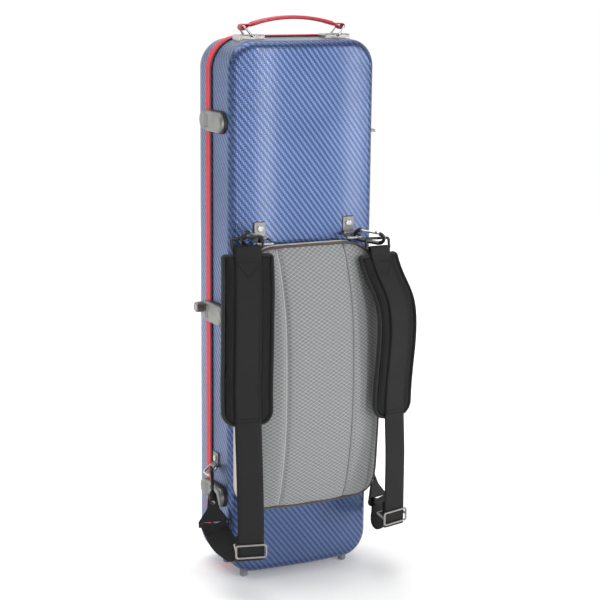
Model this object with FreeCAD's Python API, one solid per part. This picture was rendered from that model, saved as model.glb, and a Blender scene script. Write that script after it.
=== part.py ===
"""Oblong violin case with a back cushion, shoulder straps, side latches and a top handle.

The case stands on its short end. X is the width (latches at -X, hinges at +X), -Y is the back that
carries the cushion, +Y is the lid, and Z runs along the length. The plane Y = 0 is the joint between
the base and the lid, and Z = 0 is the surface under the four end feet. All sizes are millimetres.
"""
import FreeCAD, Part
import os
from math import atan2, cos, radians, sin, sqrt

V = FreeCAD.Vector
X_AXIS, Y_AXIS, Z_AXIS = V(1, 0, 0), V(0, 1, 0), V(0, 0, 1)

# ---------------------------------------------------------------- driving sizes: shells
CASE_LENGTH = 780.0
CASE_WIDTH = 232.0
BASE_DEPTH = 66.0          # joint plane to the edge of the back
LID_DEPTH = 56.0           # joint plane to the edge of the lid's face
BACK_CROWN = 11.0          # how far the back bulges past its side edges
LID_CROWN = 8.0
SHELL_WALL = 2.6
FOOT_HEIGHT = 9.0
TOP = FOOT_HEIGHT + CASE_LENGTH
HALF = CASE_WIDTH / 2
RIM_CORNER = 46.0          # corner radius at the joint
BACK_CORNER = 38.0         # corner radius at the back and at the lid's face
BASE_DRAFT = 3.0           # how far the base walls lean in over the base depth
LID_SIDE_DRAFT = 1.5
LID_END_DRAFT = 5.0
BACK_EDGE_RADIUS = 12.0
LID_EDGE_RADIUS = 32.0

JOINT_GAP = 0.5            # open slit between the two rims when the lid is closed
RIM_WIDTH = 7.5            # each rim half, from the joint plane
RIM_PROUD = 2.0
RIM_CAP = 1.6              # thickness of rim or seal over the shell's edge
RIM_ROUND = 1.2
RIM_STRIP = 3.6            # width of the black strip beside the base rim
STRIP_PROUD = 1.2
FIT = 0.1                  # assembly clearance between fixed pieces
CLEAR = 0.4                # clearance between moving pieces
RUN = 0.06                 # radial clearance of a pin in its bore

# ---------------------------------------------------------------- driving sizes: fittings
LATCH_FROM_END = 117.0     # centre of the end latches from the shell's ends
LATCH_DROP = 2.5           # the middle latch lies this much below the middle of the other two
LATCH_HEIGHTS = (FOOT_HEIGHT + LATCH_FROM_END + 1.0, FOOT_HEIGHT + CASE_LENGTH / 2 + 1.0 - LATCH_DROP,
                 TOP - LATCH_FROM_END + 1.0)
LATCH_HALF = 14.5          # half length of a latch cover along Z
LATCH_REACH = 57.0         # joint plane to the rounded end of a latch cover
LATCH_GASKET = 1.0
LATCH_COVER = 4.8          # cover thickness above the rim
LATCH_EDGE = 1.8           # joint plane to the cover's straight edge
LATCH_PIVOT = 7.0          # joint plane to the lever's pin
LATCH_BARREL = 2.4
LATCH_PIN = 1.2
LEVER_HALF = 13.0
LEVER_TIP = 21.0           # joint plane to the lever's rounded tip, on the lid side
LEVER_START = 1.0
BARREL_HALF = 8.6
KEEPER_HALF = 6.0
KEEPER_NEAR, KEEPER_FAR = 8.4, 18.0
LOCK_RADIUS = 7.8
LOCK_HEIGHT = 11.0
LOCK_BARREL = 4.2
LOCK_Y = 10.5
LOCK_LIFT = 4.0            # lock axis above the middle of its latch

HINGE_HALF = 24.0
HINGE_LEAF = 1.6           # leaf thickness over the rim
HINGE_REACH = 24.0
HINGE_KNUCKLE = 3.2
HINGE_PIN = 1.4
HINGE_GAP = 0.5

FOOT_RADIUS = 6.0
FOOT_ROUND = 2.4
FOOT_X = 82.0
BASE_FOOT_Y = -48.0
LID_FOOT_Y = 14.0

HANDLE_Y = -27.0
HANDLE_RING_X = 67.0       # lower bar of each ring
HANDLE_RING_LEAN = 10.5    # how far the upper bar lies outside the lower one
HANDLE_RING_RISE = 12.6
HANDLE_WIRE = 1.5
HANDLE_RING_FOOT = 28.0
HANDLE_RING_TOP = 23.0
BRACKET_LENGTH = 39.0
BRACKET_WIDTH = 23.0
BRACKET_HEIGHT = 5.6
BRACKET_BORE_HEIGHT = 2.9
HANDLE_WIDTH = 18.0
HANDLE_THICK = 4.6
HANDLE_ARCH = 13.5
HANDLE_LOOP = 4.6
HANDLE_LOOP_BORE = 2.5

EYE_HEIGHT = TOP - 134.0   # small fixed eye on the hinge side
EYE_Y = -BASE_DEPTH + 12.0

# ---------------------------------------------------------------- driving sizes: cushion and straps
CUSHION_LOW = 117.0
CUSHION_HIGH = 505.0
CUSHION_HALF = HALF - 4.0
CUSHION_BOARD = 2.5
CUSHION_CORNER = 34.0
CUSHION_TOP_CORNER = 62.0
# Cross sections of the cushion: height, side band, face above the side band.
CUSHION_SECTIONS = ((95.0, 31.0, 0.0), (200.0, 37.0, 20.0), (331.0, 38.0, 27.0), (430.0, 35.0, 23.0),
                    (500.0, 26.0, 8.0), (560.0, 14.0, 0.0))
SEAM_X = 53.0

WEB_WIDTH = 38.0
WEB_THICK = 2.2
PAD_WIDTH = 70.0
PAD_THICK = 9.5
PAD_TOP = 489.0
PAD_BOTTOM = 256.0
STRAP_TWIST = 14.0         # degrees the straps turn outwards
SLIDER_HEIGHT = 88.0
PAD_SHIFT = 7.0            # left strap's pad sits this much higher, the right one lower
SLIDER_SHIFT = 9.0         # left strap's slider sits this much lower, the right one higher
STRAP_RING_RISE = 15.0
STRAP_RING_WIDTH = WEB_WIDTH + 10.0
STRAP_WIRE = 2.0
ANCHOR_Z = 524.0
ANCHOR_X = HALF - 46.0
LOWER_ANCHOR_Z = 180.0
LOWER_ANCHOR_Y = -23.5

# Routes of the right strap, measured across from the case's side and backwards from the base's depth: first its
# front face from the upper ring to the slider, then the lower loop from behind the slider to the triangle's slot.
STRAP_OFFSETS = (
    (-13.0, -36.0, 512.0), (-12.0, -43.0, 490.0), (-7.5, -55.5, 462.0), (0.0, -72.5, 430.0), (2.8, -78.5, 397.0),
    (2.6, -77.0, 350.0), (1.2, -72.5, 300.0), (0.3, -73.0, 255.0), (0.0, -77.5, 200.0), (-0.8, -79.8, 145.0),
    (-1.0, -81.0, SLIDER_HEIGHT - 14.0),
)
LOOP_OFFSETS = (
    (-0.9, -74.4, SLIDER_HEIGHT + 22.0), (-0.8, -74.0, SLIDER_HEIGHT - 6.0), (1.0, -65.0, 70.0), (6.0, -44.0, 66.0),
    (14.0, -20.0, 72.0),
)
STRAP_ROUTE = tuple((HALF + x, y - BASE_DEPTH, z) for x, y, z in STRAP_OFFSETS)
LOOP_ROUTE = tuple((HALF + x, y - BASE_DEPTH, z) for x, y, z in LOOP_OFFSETS)
SLOT_CENTRE = (HALF + 19.5, 3.0 - BASE_DEPTH, 94.5)
TRIANGLE_TWIST = 30.0
TRIANGLE_EDGE = 3.6        # metal beside the webbing slot
TRIANGLE_NECK = 5.5        # half width at the swivel
TRIANGLE_WAIST = 9.0       # half width midway

# ---------------------------------------------------------------- driving sizes: inside
LINING = 5.0
POCKET_DEPTH = 48.0
POCKET_LOW = 30.0          # lower end of the violin's body pocket
# Half outline of the pocket for the violin's body: half width, height above POCKET_LOW.
BODY_OUTLINE = (
    (0.0, -4.0), (58.0, 4.0), (97.0, 38.0), (105.0, 78.0), (96.0, 120.0), (72.0, 152.0), (61.0, 190.0),
    (65.0, 230.0), (83.0, 262.0), (88.0, 294.0), (76.0, 330.0), (42.0, 355.0), (0.0, 360.0),
)
FOAM_JOINTS = (3, 5, 8)    # points of the outline where the blocks beside the pocket meet
NECK_HALF = 28.0
NECK_DEPTH = 34.0
SCROLL_HALF = 36.0
SCROLL_LOW, SCROLL_HIGH = 552.0, 636.0
BAY_INNER, BAY_OUTER = 42.0, HALF - 18.0
BAY_LOW, BAY_HIGH = 408.0, 636.0
BAY_DEPTH = 40.0
BOX_HALF = HALF - 36.0
BOX_LOW, BOX_LENGTH = TOP - 135.0, 46.0
BOX_DEPTH = 44.0
BOX_LID = 3.5
LEDGE = 3.0
TRAY_LOW, TRAY_HIGH, TRAY_HALF = TOP - 77.0, TOP - 25.0, HALF - 34.0
CRADLE_LOW, CRADLE_LENGTH = 470.0, 32.0
BOW_X = 42.0
SPINNER_Z, TIP_Z = 150.0, TOP - 53.0
SPINNER_POST = 2.6

HINGE_X = HALF + RIM_PROUD + HINGE_KNUCKLE + CLEAR


# ---------------------------------------------------------------- plain solids
def block(x0, x1, y0, y1, z0, z1):
    """Box between two corners."""
    return Part.makeBox(x1 - x0, y1 - y0, z1 - z0, V(x0, y0, z0))


def rod(radius, start, end):
    """Round bar from one point to another."""
    line = end - start
    return Part.makeCylinder(radius, line.Length, start, line)


def prism(points, push):
    """Solid made by pushing a flat polygon along a vector."""
    return Part.Face(Part.makePolygon(list(points) + [points[0]])).extrude(push)


def mirrored(shape):
    """Copy of a shape on the other side of the plane X = 0."""
    return shape.mirror(V(0, 0, 0), X_AXIS)


def group(shapes):
    """Separate solids kept together in one node."""
    return Part.makeCompound([solid for shape in shapes for solid in shape.Solids])


def one(shape):
    """The single solid of a shape, with needless seams removed."""
    clean = shape.removeSplitter()
    return clean.Solids[0] if len(clean.Solids) == 1 else clean


def wire_loop(points, radius, bend):
    """Closed round wire through corner points, with every corner bent to one radius."""
    count = len(points)
    edges = []
    starts, ends = [], []
    for i in range(count):
        before, corner, after = points[i - 1], points[i], points[(i + 1) % count]
        a = (before - corner).normalize()
        b = (after - corner).normalize()
        half_turn = a.getAngle(b) / 2
        cut = bend / (sin(half_turn) / cos(half_turn))
        middle = (a + b).normalize()
        centre = corner + middle * (bend / sin(half_turn))
        starts.append(corner + a * cut)
        ends.append(corner + b * cut)
        edges.append(Part.Arc(starts[i], centre - middle * bend, ends[i]).toShape())
    path = []
    for i in range(count):
        path.append(edges[i])
        path.append(Part.LineSegment(ends[i], starts[(i + 1) % count]).toShape())
    spine = Part.Wire(path)
    start = spine.Edges[0].valueAt(spine.Edges[0].FirstParameter)
    along = spine.Edges[0].tangentAt(spine.Edges[0].FirstParameter)
    section = Part.Wire(Part.Circle(start, along, radius).toShape())
    return spine.makePipeShell([section], True, True)


# ---------------------------------------------------------------- the trays that shells and linings share
class Tray:
    """One half of the case: rounded rectangular walls with a draft, closed by a crowned face."""

    def __init__(self, side, depth, crown, side_draft, end_draft, edge_radius):
        self.side, self.depth, self.crown = side, depth, crown
        self.side_draft, self.end_draft, self.edge_radius = side_draft, end_draft, edge_radius
        half = HALF - side_draft
        self.crown_radius = (half * half + crown * crown) / (2 * crown)

    def limits(self, distance, inset):
        """Half width, lower end, upper end and corner radius at a distance from the joint plane."""
        share = distance / self.depth
        half = HALF - self.side_draft * share - inset
        low = FOOT_HEIGHT + self.end_draft * share + inset
        high = TOP - self.end_draft * share - inset
        corner = RIM_CORNER + (BACK_CORNER - RIM_CORNER) * share - inset
        return half, low, high, corner

    def outline(self, distance, inset, level=None):
        """Closed outline at a distance from the joint plane, drawn there or at another level."""
        half, low, high, corner = self.limits(distance, inset)
        y = self.side * (distance if level is None else level)
        edges = []
        spots = ((half - corner, low + corner, -90), (half - corner, high - corner, 0),
                 (corner - half, high - corner, 90), (corner - half, low + corner, 180))
        arcs = []
        for x, z, first in spots:
            at = [V(x + corner * cos(radians(first + turn)), y, z + corner * sin(radians(first + turn)))
                  for turn in (0, 45, 90)]
            arcs.append(at)
        for i, at in enumerate(arcs):
            edges.append(Part.Arc(*at).toShape())
            edges.append(Part.LineSegment(at[2], arcs[(i + 1) % 4][0]).toShape())
        return Part.Wire(edges)

    def solid(self, inset, mouth):
        """Filled tray, a distance inside the outer surface, starting at the mouth."""
        far = self.depth + self.crown + 8.0
        walls = Part.makeLoft([self.outline(mouth, inset), self.outline(far, inset)], True, True)
        apex = self.depth + self.crown
        axis_y = self.side * (apex - self.crown_radius)
        dome = Part.makeCylinder(self.crown_radius - inset, CASE_LENGTH + 80, V(0, axis_y, -30), Z_AXIS)
        body = walls.common(dome)
        face = max(body.Faces, key=lambda f: f.Area if f.Surface.TypeId == "Part::GeomCylinder" else 0)
        return body.makeFillet(self.edge_radius - inset, face.Edges)

    def surface_y(self, x, inset=0.0):
        """Y of the crowned face at a given X, away from its rounded edges."""
        radius = self.crown_radius - inset
        return self.side * (self.depth + self.crown - self.crown_radius + sqrt(radius * radius - x * x))

    def wall_x(self, y, inset=0.0):
        """Half width of the side wall at a given Y."""
        return self.limits(abs(y), inset)[0]

    def end_z(self, y, inset=0.0):
        """Lower and upper end of the end walls at a given Y."""
        return self.limits(abs(y), inset)[1:3]


BASE = Tray(-1, BASE_DEPTH, BACK_CROWN, BASE_DRAFT, BASE_DRAFT, BACK_EDGE_RADIUS)
LID = Tray(1, LID_DEPTH, LID_CROWN, LID_SIDE_DRAFT, LID_END_DRAFT, LID_EDGE_RADIUS)
MOUTH = JOINT_GAP / 2 + RIM_CAP


def outline_prism(tray, inset, start, end):
    """Straight prism of the outline at the joint, between two distances from the joint plane."""
    face = Part.Face(tray.outline(0.0, inset, start))
    return face.extrude(V(0, tray.side * (end - start), 0))


def shell(tray):
    """Thin moulded shell of one half."""
    return tray.solid(0.0, MOUTH).cut(tray.solid(SHELL_WALL, MOUTH - 0.5).fuse(
        outline_prism(tray, SHELL_WALL, MOUTH - 1.0, MOUTH + 0.2)))


def rim(tray, outer_filled, capped):
    """Rim profile round a shell's edge; a capped one also covers the edge itself."""
    band = outline_prism(tray, -RIM_PROUD, JOINT_GAP / 2, RIM_WIDTH)
    far_edges = [e for e in band.Edges if abs(abs(e.CenterOfMass.y) - RIM_WIDTH) < 0.01]
    band = band.makeFillet(RIM_ROUND, far_edges)
    band = band.cut(outer_filled)
    inner = outline_prism(tray, SHELL_WALL if capped else -FIT, 0.0, RIM_WIDTH + 1)
    return one(band.cut(inner))


def seal(tray):
    """Rubber strip that covers the edge of the lid's shell."""
    strip = outline_prism(tray, 0.0, JOINT_GAP / 2, MOUTH - FIT)
    return strip.cut(outline_prism(tray, SHELL_WALL, 0.0, MOUTH + 1))


def rim_strip():
    """Black strip between the base rim and the painted wall."""
    band = outline_prism(BASE, -STRIP_PROUD, RIM_WIDTH + FIT, RIM_WIDTH + RIM_STRIP)
    return one(band.cut(BASE.solid(-FIT, 0.0)))


def rim_zone():
    """Room that the base rim and its strip take up, for cutting what sits over them."""
    rim_part = outline_prism(BASE, -RIM_PROUD - FIT, -1.0, RIM_WIDTH + FIT)
    return rim_part.fuse(outline_prism(BASE, -STRIP_PROUD - FIT, 0.0, RIM_WIDTH + RIM_STRIP + FIT))


# ---------------------------------------------------------------- latches, lock and hinges
def d_outline(x, half, start, tip):
    """D shape in a plane of constant X: straight at the start, half round at the tip."""
    shoulder = tip - half if tip > start else tip + half
    arc = Part.Arc(V(x, shoulder, half), V(x, tip, 0), V(x, shoulder, -half)).toShape()
    straight = Part.makePolygon([V(x, shoulder, -half), V(x, start, -half), V(x, start, half),
                                 V(x, shoulder, half)])
    return Part.Wire([arc] + straight.Edges)


def raised(shape, height):
    """Copy of a shape moved up along the case."""
    copy = shape.copy()
    copy.translate(V(0, 0, height))
    return copy


def latch_pivot():
    """Centre of a latch's pin at Z = 0."""
    return V(-HALF - RIM_PROUD - CLEAR - LATCH_BARREL, -LATCH_PIVOT, 0)


def latch_face():
    """X of a latch's outer face."""
    return -HALF - RIM_PROUD - LATCH_COVER


def latch_gasket(base_filled, zone, height):
    """Black gasket under a latch's cover, seated on the drafted wall."""
    x = -HALF - LATCH_GASKET
    flat = Part.Face(d_outline(x, LATCH_HALF + 1.4, -LATCH_EDGE - 1, -LATCH_REACH - 1.4))
    return one(raised(flat.extrude(V(8, 0, 0)), height).cut(base_filled).cut(zone))


def latch_cover(zone, height):
    """Fixed D-shaped cover with a notch for the lever's barrel and a bore for its pin."""
    x, pivot = -HALF - LATCH_GASKET - FIT, latch_pivot()
    outline = d_outline(x, LATCH_HALF, -LATCH_EDGE, -LATCH_REACH)
    body = Part.Face(outline).extrude(V(latch_face() - x, 0, 0))
    rim_edges = [e for e in body.Edges if abs(e.CenterOfMass.x - latch_face()) < 0.01
                 and e.CenterOfMass.y < -LATCH_EDGE - 0.1]
    body = body.makeFillet(3.2, rim_edges)
    notch_half = BARREL_HALF + CLEAR
    back = -LATCH_PIVOT - LATCH_BARREL - CLEAR - 1.0
    body = body.cut(block(latch_face() - 5, -HALF - RIM_PROUD, back, 0, -notch_half, notch_half))
    body = body.cut(Part.makeCylinder(LATCH_PIN, 2 * LEVER_HALF, V(pivot.x, pivot.y, -LEVER_HALF)))
    return one(raised(body, height).cut(zone))


def latch_pin():
    """Pin of a latch, held in the cover on both sides of the notch."""
    pivot = latch_pivot()
    return Part.makeCylinder(LATCH_PIN, 2 * LEVER_HALF, V(pivot.x, pivot.y, -LEVER_HALF))


def latch_lever():
    """Lever that turns on the pin and reaches across both rims, rounded at its tip."""
    pivot = latch_pivot()
    inner = -HALF - RIM_PROUD - CLEAR
    thick = inner - latch_face()
    outline = d_outline(inner, LEVER_HALF, -LEVER_START, LEVER_TIP)
    body = Part.Face(outline).extrude(V(-thick, 0, 0))
    rim_edges = [e for e in body.Edges if abs(e.CenterOfMass.x - latch_face()) < 0.01
                 and e.CenterOfMass.y > -LEVER_START + 0.1]
    body = body.makeFillet(2.2, rim_edges)
    barrel = Part.makeCylinder(LATCH_BARREL, 2 * BARREL_HALF, V(pivot.x, pivot.y, -BARREL_HALF))
    web = block(latch_face() + 0.25, inner, pivot.y, LEVER_START + 3, -BARREL_HALF, BARREL_HALF)
    lever = body.fuse(barrel.fuse(web))
    return one(lever.cut(Part.makeCylinder(LATCH_PIN + RUN, 80, V(pivot.x, pivot.y, -40))))


def keeper(lid_filled, height):
    """Striker plate on the lid's wall, under the lever's tip."""
    body = block(-HALF - RIM_PROUD, -HALF + 4, KEEPER_NEAR, KEEPER_FAR, -KEEPER_HALF, KEEPER_HALF)
    edges = [e for e in body.Edges if abs(e.CenterOfMass.x + HALF + RIM_PROUD) < 0.01]
    return one(raised(body.makeFillet(0.8, edges), height).cut(lid_filled))


def lock_seat():
    """Point on the middle lever's outer face, on the lock's axis."""
    return V(latch_face() - FIT, LOCK_Y, LATCH_HEIGHTS[1] + LOCK_LIFT)


def lock_housing():
    """Rounded housing of the key lock on the middle lever."""
    seat = lock_seat()
    body = Part.makeCylinder(LOCK_RADIUS, LOCK_HEIGHT, seat, V(-1, 0, 0))
    outer = [e for e in body.Edges if abs(e.CenterOfMass.x - seat.x + LOCK_HEIGHT) < 0.01]
    body = body.makeFillet(2.4, outer)
    bore = Part.makeCylinder(LOCK_BARREL + RUN, LOCK_HEIGHT, seat + V(-1.5, 0, 0), V(-1, 0, 0))
    return one(body.cut(bore))


def lock_cylinder():
    """Turning lock cylinder with a keyway."""
    seat = lock_seat()
    body = Part.makeCylinder(LOCK_BARREL, LOCK_HEIGHT - 1.9 - 0.4, seat + V(-1.9, 0, 0), V(-1, 0, 0))
    slot = block(seat.x - LOCK_HEIGHT - 1, seat.x - LOCK_HEIGHT + 4, seat.y - 0.7, seat.y + 0.7,
                 seat.z - 2.7, seat.z + 2.7)
    return one(body.cut(slot))


def hinge_leaf(tray, filled, zone, height, spans):
    """One leaf of a hinge: a plate on the side wall and its knuckles round the pin."""
    outer = HALF + RIM_PROUD + HINGE_LEAF
    lo, hi = sorted((tray.side * CLEAR, tray.side * HINGE_REACH))
    plate = block(HALF - 6, outer, lo, hi, height - HINGE_HALF, height + HINGE_HALF)
    ends = [e for e in plate.Edges if abs(e.CenterOfMass.x - outer) < 0.01
            and abs(e.CenterOfMass.y) > CLEAR + 0.1]
    plate = plate.makeFillet(1.2, ends)
    plate = plate.cut(zone).cut(filled)
    for z0, z1 in spans:
        knuckle = Part.makeCylinder(HINGE_KNUCKLE, z1 - z0, V(HINGE_X, 0, height + z0))
        root = sorted((0.0, tray.side * (HINGE_KNUCKLE + 1.0)))
        web = block(HALF + RIM_PROUD + FIT, HINGE_X, root[0], root[1], height + z0, height + z1)
        plate = plate.fuse(knuckle).fuse(web)
    bore = HINGE_PIN + (RUN if tray.side > 0 else 0.0)
    return one(plate.cut(Part.makeCylinder(bore, 2 * HINGE_HALF + 2, V(HINGE_X, 0, height - HINGE_HALF - 1))))


def hinge_spans():
    """Knuckle spans of the base leaf and of the lid leaf, relative to the hinge's middle."""
    third = 2 * HINGE_HALF / 3
    base = ((-HINGE_HALF, -third / 2 - HINGE_GAP / 2), (third / 2 + HINGE_GAP / 2, HINGE_HALF))
    return base, ((-third / 2 + HINGE_GAP / 2, third / 2 - HINGE_GAP / 2),)


def leaf_relief(shape, height, spans):
    """Room beside a leaf's plate for the other leaf's knuckles."""
    for z0, z1 in spans:
        shape = shape.cut(Part.makeCylinder(HINGE_KNUCKLE + CLEAR, z1 - z0 + 2 * HINGE_GAP,
                                            V(HINGE_X, 0, height + z0 - HINGE_GAP)))
    return one(shape)


# ---------------------------------------------------------------- feet, handle and side eye
def foot(tray, filled, x, y):
    """Rubber dome under the lower end."""
    body = Part.makeCylinder(FOOT_RADIUS, FOOT_HEIGHT + 10, V(x, y, 0))
    low = [e for e in body.Edges if abs(e.CenterOfMass.z) < 0.01]
    return one(body.makeFillet(FOOT_ROUND, low).cut(filled))


def handle_seat():
    """Height of the upper end wall under the handle."""
    return BASE.end_z(HANDLE_Y)[1]


def ring_bars():
    """Centres of the right ring's lower and upper bars, in the plane of the handle."""
    low = handle_seat() + BRACKET_BORE_HEIGHT
    return (V(HANDLE_RING_X, HANDLE_Y, low),
            V(HANDLE_RING_X + HANDLE_RING_LEAN, HANDLE_Y, low + HANDLE_RING_RISE))


def handle_bracket(base_filled):
    """Right bracket: a domed plate with a cross bore for the ring."""
    low, _ = ring_bars()
    y0, y1 = HANDLE_Y - BRACKET_WIDTH / 2, HANDLE_Y + BRACKET_WIDTH / 2
    x0, x1 = HANDLE_RING_X - BRACKET_LENGTH / 2, HANDLE_RING_X + BRACKET_LENGTH / 2
    top = handle_seat() + BRACKET_HEIGHT
    body = block(x0, x1, y0, y1, handle_seat() - 4, top)
    upper = [e for e in body.Edges if abs(e.CenterOfMass.z - top) < 0.01]
    body = body.makeFillet(2.4, upper)
    body = body.cut(base_filled)
    return one(body.cut(Part.makeCylinder(HANDLE_WIRE + RUN, 60, V(low.x, HANDLE_Y - 30, low.z), Y_AXIS)))


def handle_ring():
    """Right ring: a trapezoid of wire that leans outwards."""
    low, high = ring_bars()
    foot_half, top_half = HANDLE_RING_FOOT / 2, HANDLE_RING_TOP / 2
    corners = [low + V(0, -foot_half, 0), low + V(0, foot_half, 0),
               high + V(0, top_half, 0), high + V(0, -top_half, 0)]
    return wire_loop(corners, HANDLE_WIRE, 2.2)


def handle_strap():
    """Arched grip with a loop round each ring's upper bar."""
    _, high = ring_bars()
    half = high.x
    radius = (half * half + HANDLE_ARCH * HANDLE_ARCH) / (2 * HANDLE_ARCH)
    centre_z = high.z + HANDLE_ARCH - radius
    spread = atan2(half, radius - HANDLE_ARCH)
    y0 = HANDLE_Y - HANDLE_WIDTH / 2

    def arc(r):
        points = [V(r * sin(a), y0, centre_z + r * cos(a)) for a in (-spread, 0, spread)]
        return Part.Arc(*points).toShape(), points

    outer, outer_points = arc(radius + HANDLE_THICK / 2)
    inner, inner_points = arc(radius - HANDLE_THICK / 2)
    closing = [Part.LineSegment(outer_points[2], inner_points[2]).toShape(),
               Part.LineSegment(inner_points[0], outer_points[0]).toShape()]
    band = Part.Face(Part.Wire([outer, closing[0], inner, closing[1]])).extrude(V(0, HANDLE_WIDTH, 0))
    for sign in (-1, 1):
        at = V(sign * high.x, y0, high.z)
        band = band.fuse(Part.makeCylinder(HANDLE_LOOP, HANDLE_WIDTH, at, Y_AXIS))
    for sign in (-1, 1):
        at = V(sign * high.x, y0 - 1, high.z)
        band = band.cut(Part.makeCylinder(HANDLE_LOOP_BORE, HANDLE_WIDTH + 2, at, Y_AXIS))
    return one(band)


def side_eye(base_filled):
    """Small fixed eye on the hinge side for a subway strap."""
    x0 = BASE.wall_x(EYE_Y) - 4
    body = block(x0, x0 + 11.5, EYE_Y - 6, EYE_Y + 6, EYE_HEIGHT - 2, EYE_HEIGHT + 2)
    outer = [e for e in body.Edges if e.CenterOfMass.x > x0 + 11.4 and abs(e.CenterOfMass.z - EYE_HEIGHT) < 0.1]
    body = body.makeFillet(3.5, outer)
    hole = Part.makeCylinder(1.8, 20, V(x0 + 8.0, EYE_Y, EYE_HEIGHT - 10))
    return one(body.cut(hole).cut(base_filled))


# ---------------------------------------------------------------- straps
def unit(vector):
    """Copy of a vector with length one."""
    return V(vector).normalize()


class Ribbon:
    """Band along a smooth route, with its width turned outwards by the strap's twist."""

    def __init__(self, points, twists):
        self.curve = Part.BSplineCurve()
        self.curve.interpolate(points)
        self.twists = twists

    def stations(self, shares):
        """Point, width direction, outward normal and tangent at shares of the route."""
        low, high = self.curve.FirstParameter, self.curve.LastParameter
        result = []
        for share in shares:
            at = low + (high - low) * share
            tangent = unit(self.curve.tangent(at)[0])
            twist = radians(self.twists[0] + (self.twists[1] - self.twists[0]) * share)
            across = V(cos(twist), sin(twist), 0)
            across = unit(across - tangent * across.dot(tangent))
            result.append((self.curve.value(at), across, unit(tangent.cross(across)), tangent))
        return result

    def band(self, shares, widths, near, far):
        """Closed band between two distances from the route, with a width at each station."""
        wires = []
        for (at, across, normal, _), width in zip(self.stations(shares), widths):
            corners = [at + across * (s * width / 2) + normal * d
                       for s, d in ((-1, near), (1, near), (1, far), (-1, far))]
            wires.append(Part.makePolygon(corners + [corners[0]]))
        return Part.makeLoft(wires, True, True)


def spread(first, last, count):
    """Evenly spaced shares, both ends included."""
    return [first + (last - first) * i / (count - 1) for i in range(count)]


def shifted(point, sign):
    """Point of the right strap's route moved up or down for one side's adjustment."""
    x, y, z = point
    share = min(1.0, max(0.0, (PAD_BOTTOM - z) / (PAD_BOTTOM - SLIDER_HEIGHT - 20)))
    return V(x, y, z - sign * (PAD_SHIFT * (1 - share) - SLIDER_SHIFT * share))


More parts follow.
